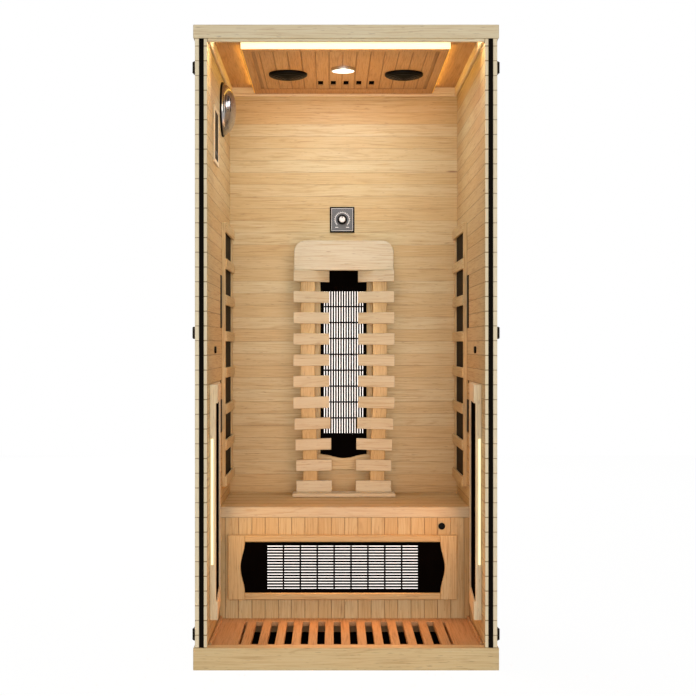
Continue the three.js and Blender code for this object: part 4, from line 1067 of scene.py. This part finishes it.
def makeStage():
    mesh = bpy.data.meshes.new("studioFloor")
    half = stageLook["size"] / 2
    mesh.from_pydata([[-half, -half, 0], [half, -half, 0], [half, half, 0], [-half, half, 0]], [], [[0, 1, 2, 3]])
    floor = bpy.data.objects.new("studioFloor", mesh)
    bpy.context.scene.collection.objects.link(floor)
    material, tree, shader = newMaterial("pale studio floor")
    shader.inputs["Base Color"].default_value = linear(stageLook["floor"])
    shader.inputs["Roughness"].default_value = 0.9
    rays = addNode(tree, "ShaderNodeLightPath")
    seen = addNode(tree, "ShaderNodeMath", {0: rays.outputs["Is Camera Ray"], 1: rays.outputs["Is Glossy Ray"]}, operation="ADD")
    seen = addNode(tree, "ShaderNodeMath", {0: seen.outputs[0], 1: rays.outputs["Is Transmission Ray"]}, operation="ADD")
    share = addNode(tree, "ShaderNodeMath", {0: seen.outputs[0], 1: stageLook["showShare"]}, operation="MULTIPLY", use_clamp=True)
    white = addNode(tree, "ShaderNodeEmission", {"Color": (1, 1, 1, 1), "Strength": stageLook["glow"]})
    mix = addNode(tree, "ShaderNodeMixShader", {0: share.outputs[0], 1: shader.outputs[0], 2: white.outputs[0]})
    tree.links.new(mix.outputs[0], tree.nodes["Material Output"].inputs["Surface"])
    mesh.materials.append(material)

    world = bpy.data.worlds.new("studio")
    bpy.context.scene.world = world
    world.use_nodes = True
    tree = world.node_tree
    rays = addNode(tree, "ShaderNodeLightPath")
    seen = addNode(tree, "ShaderNodeMath", {0: rays.outputs["Is Camera Ray"], 1: rays.outputs["Is Glossy Ray"]}, operation="ADD")
    seen = addNode(tree, "ShaderNodeMath", {0: seen.outputs[0], 1: rays.outputs["Is Transmission Ray"]}, operation="ADD", use_clamp=True)
    strength = addNode(tree, "ShaderNodeMapRange", {"Value": seen.outputs[0], "To Min": lightLook["world"], "To Max": 1.0})
    background = tree.nodes["Background"]
    background.inputs["Color"].default_value = (1, 1, 1, 1)
    tree.links.new(strength.outputs[0], background.inputs["Strength"])


lightLook = {
    "world": 0.18,
    "areas": (  # name, place, aimed at, width and height, spread in degrees, watts, colour
        ("frontKey", (0.5, -7.0, 1.4), (0.0, 0.0, 0.95), (4.0, 3.0), 180, 186.0, "#fffbf2"),
        ("backFill", (-2.5, 6.0, 3.2), (0.0, 0.0, 1.0), (4.0, 3.0), 180, 110.0, "#fffdfa"),
        ("beamMid", (0.0, -4.0, 0.95), (0.0, 0.4, 0.90), (0.3, 0.3), 12, 0.2, "#fff0e0"),
        ("coveFront", (0.0, -0.312, 1.872), (0.0, -1.0, 1.872), (0.62, 0.018), 180, 4.0, "#ffe9c8"),
        ("coveLeft", (-0.328, 0.04, 1.872), (-1.0, 0.04, 1.872), (0.62, 0.018), 180, 0.10, "#ffd060"),
        ("coveRight", (0.328, 0.04, 1.872), (1.0, 0.04, 1.872), (0.62, 0.018), 180, 0.10, "#ffd060"),
        ("topGlow", (0.0, 0.33, 1.80), (0.0, 0.60, 1.76), (0.70, 0.03), 180, 0.08, "#ffad63"),
        ("ceilingGlow", (-0.005, -0.02, 1.830), (0.0, 0.10, 0.0), (0.3, 0.3), 180, 3.0, "#e9f2ff"),
        ("legGlow", (0.0, -0.056, 0.234), (0.0, -1.0, 0.0), (0.5, 0.14), 180, 0.75, "#ffac60"),
        ("cabinGlow", (0.0, -0.38, 0.80), (0.0, 1.0, 0.80), (0.1, 0.6), 180, 0.80, "#ff8a40"),
        ("ceilingWash", (0.0, -0.10, 1.25), (0.0, 0.0, 1.9), (0.4, 0.4), 80, 0.55, "#ffd8a0"),
        ("calfGlowLeft", (-0.375, -0.235, 0.48), (1.0, -0.235, 0.30), (0.2, 0.5), 180, 1.05, "#ffba78"),
        ("calfGlowRight", (0.375, -0.235, 0.48), (-1.0, -0.235, 0.30), (0.2, 0.5), 180, 1.2, "#ffa85c"),
    ),
}


def makeLights():
    for name, place, aim, size, spread, watts, colour in lightLook["areas"]:
        data = bpy.data.lights.new(name, "AREA")
        data.shape = "RECTANGLE"
        data.size, data.size_y = size
        data.spread = math.radians(spread)
        data.energy = watts
        data.color = linear(colour)[:3]
        lamp = bpy.data.objects.new(name, data)
        bpy.context.scene.collection.objects.link(lamp)
        lamp.location = place
        lamp.rotation_euler = (Vector(aim) - Vector(place)).to_track_quat("-Z", "Y").to_euler()
        lamp.visible_camera = False


cameraLook = {"place": (-0.0415, -4.300, 0.9604), "lens": 67.71, "shift": (0.0230, -0.00575)}


def makeCamera():
    data = bpy.data.cameras.new("photoView")
    data.sensor_width = 36.0
    data.lens = cameraLook["lens"]
    data.shift_x, data.shift_y = cameraLook["shift"]
    camera = bpy.data.objects.new("photoView", data)
    bpy.context.scene.collection.objects.link(camera)
    camera.location = cameraLook["place"]
    camera.rotation_euler = (math.pi / 2, 0, 0)
    bpy.context.scene.camera = camera


makeStage()
makeLights()
makeCamera()
bpy.context.scene.view_settings.view_transform = "Standard"
print("stage, lights and camera made")
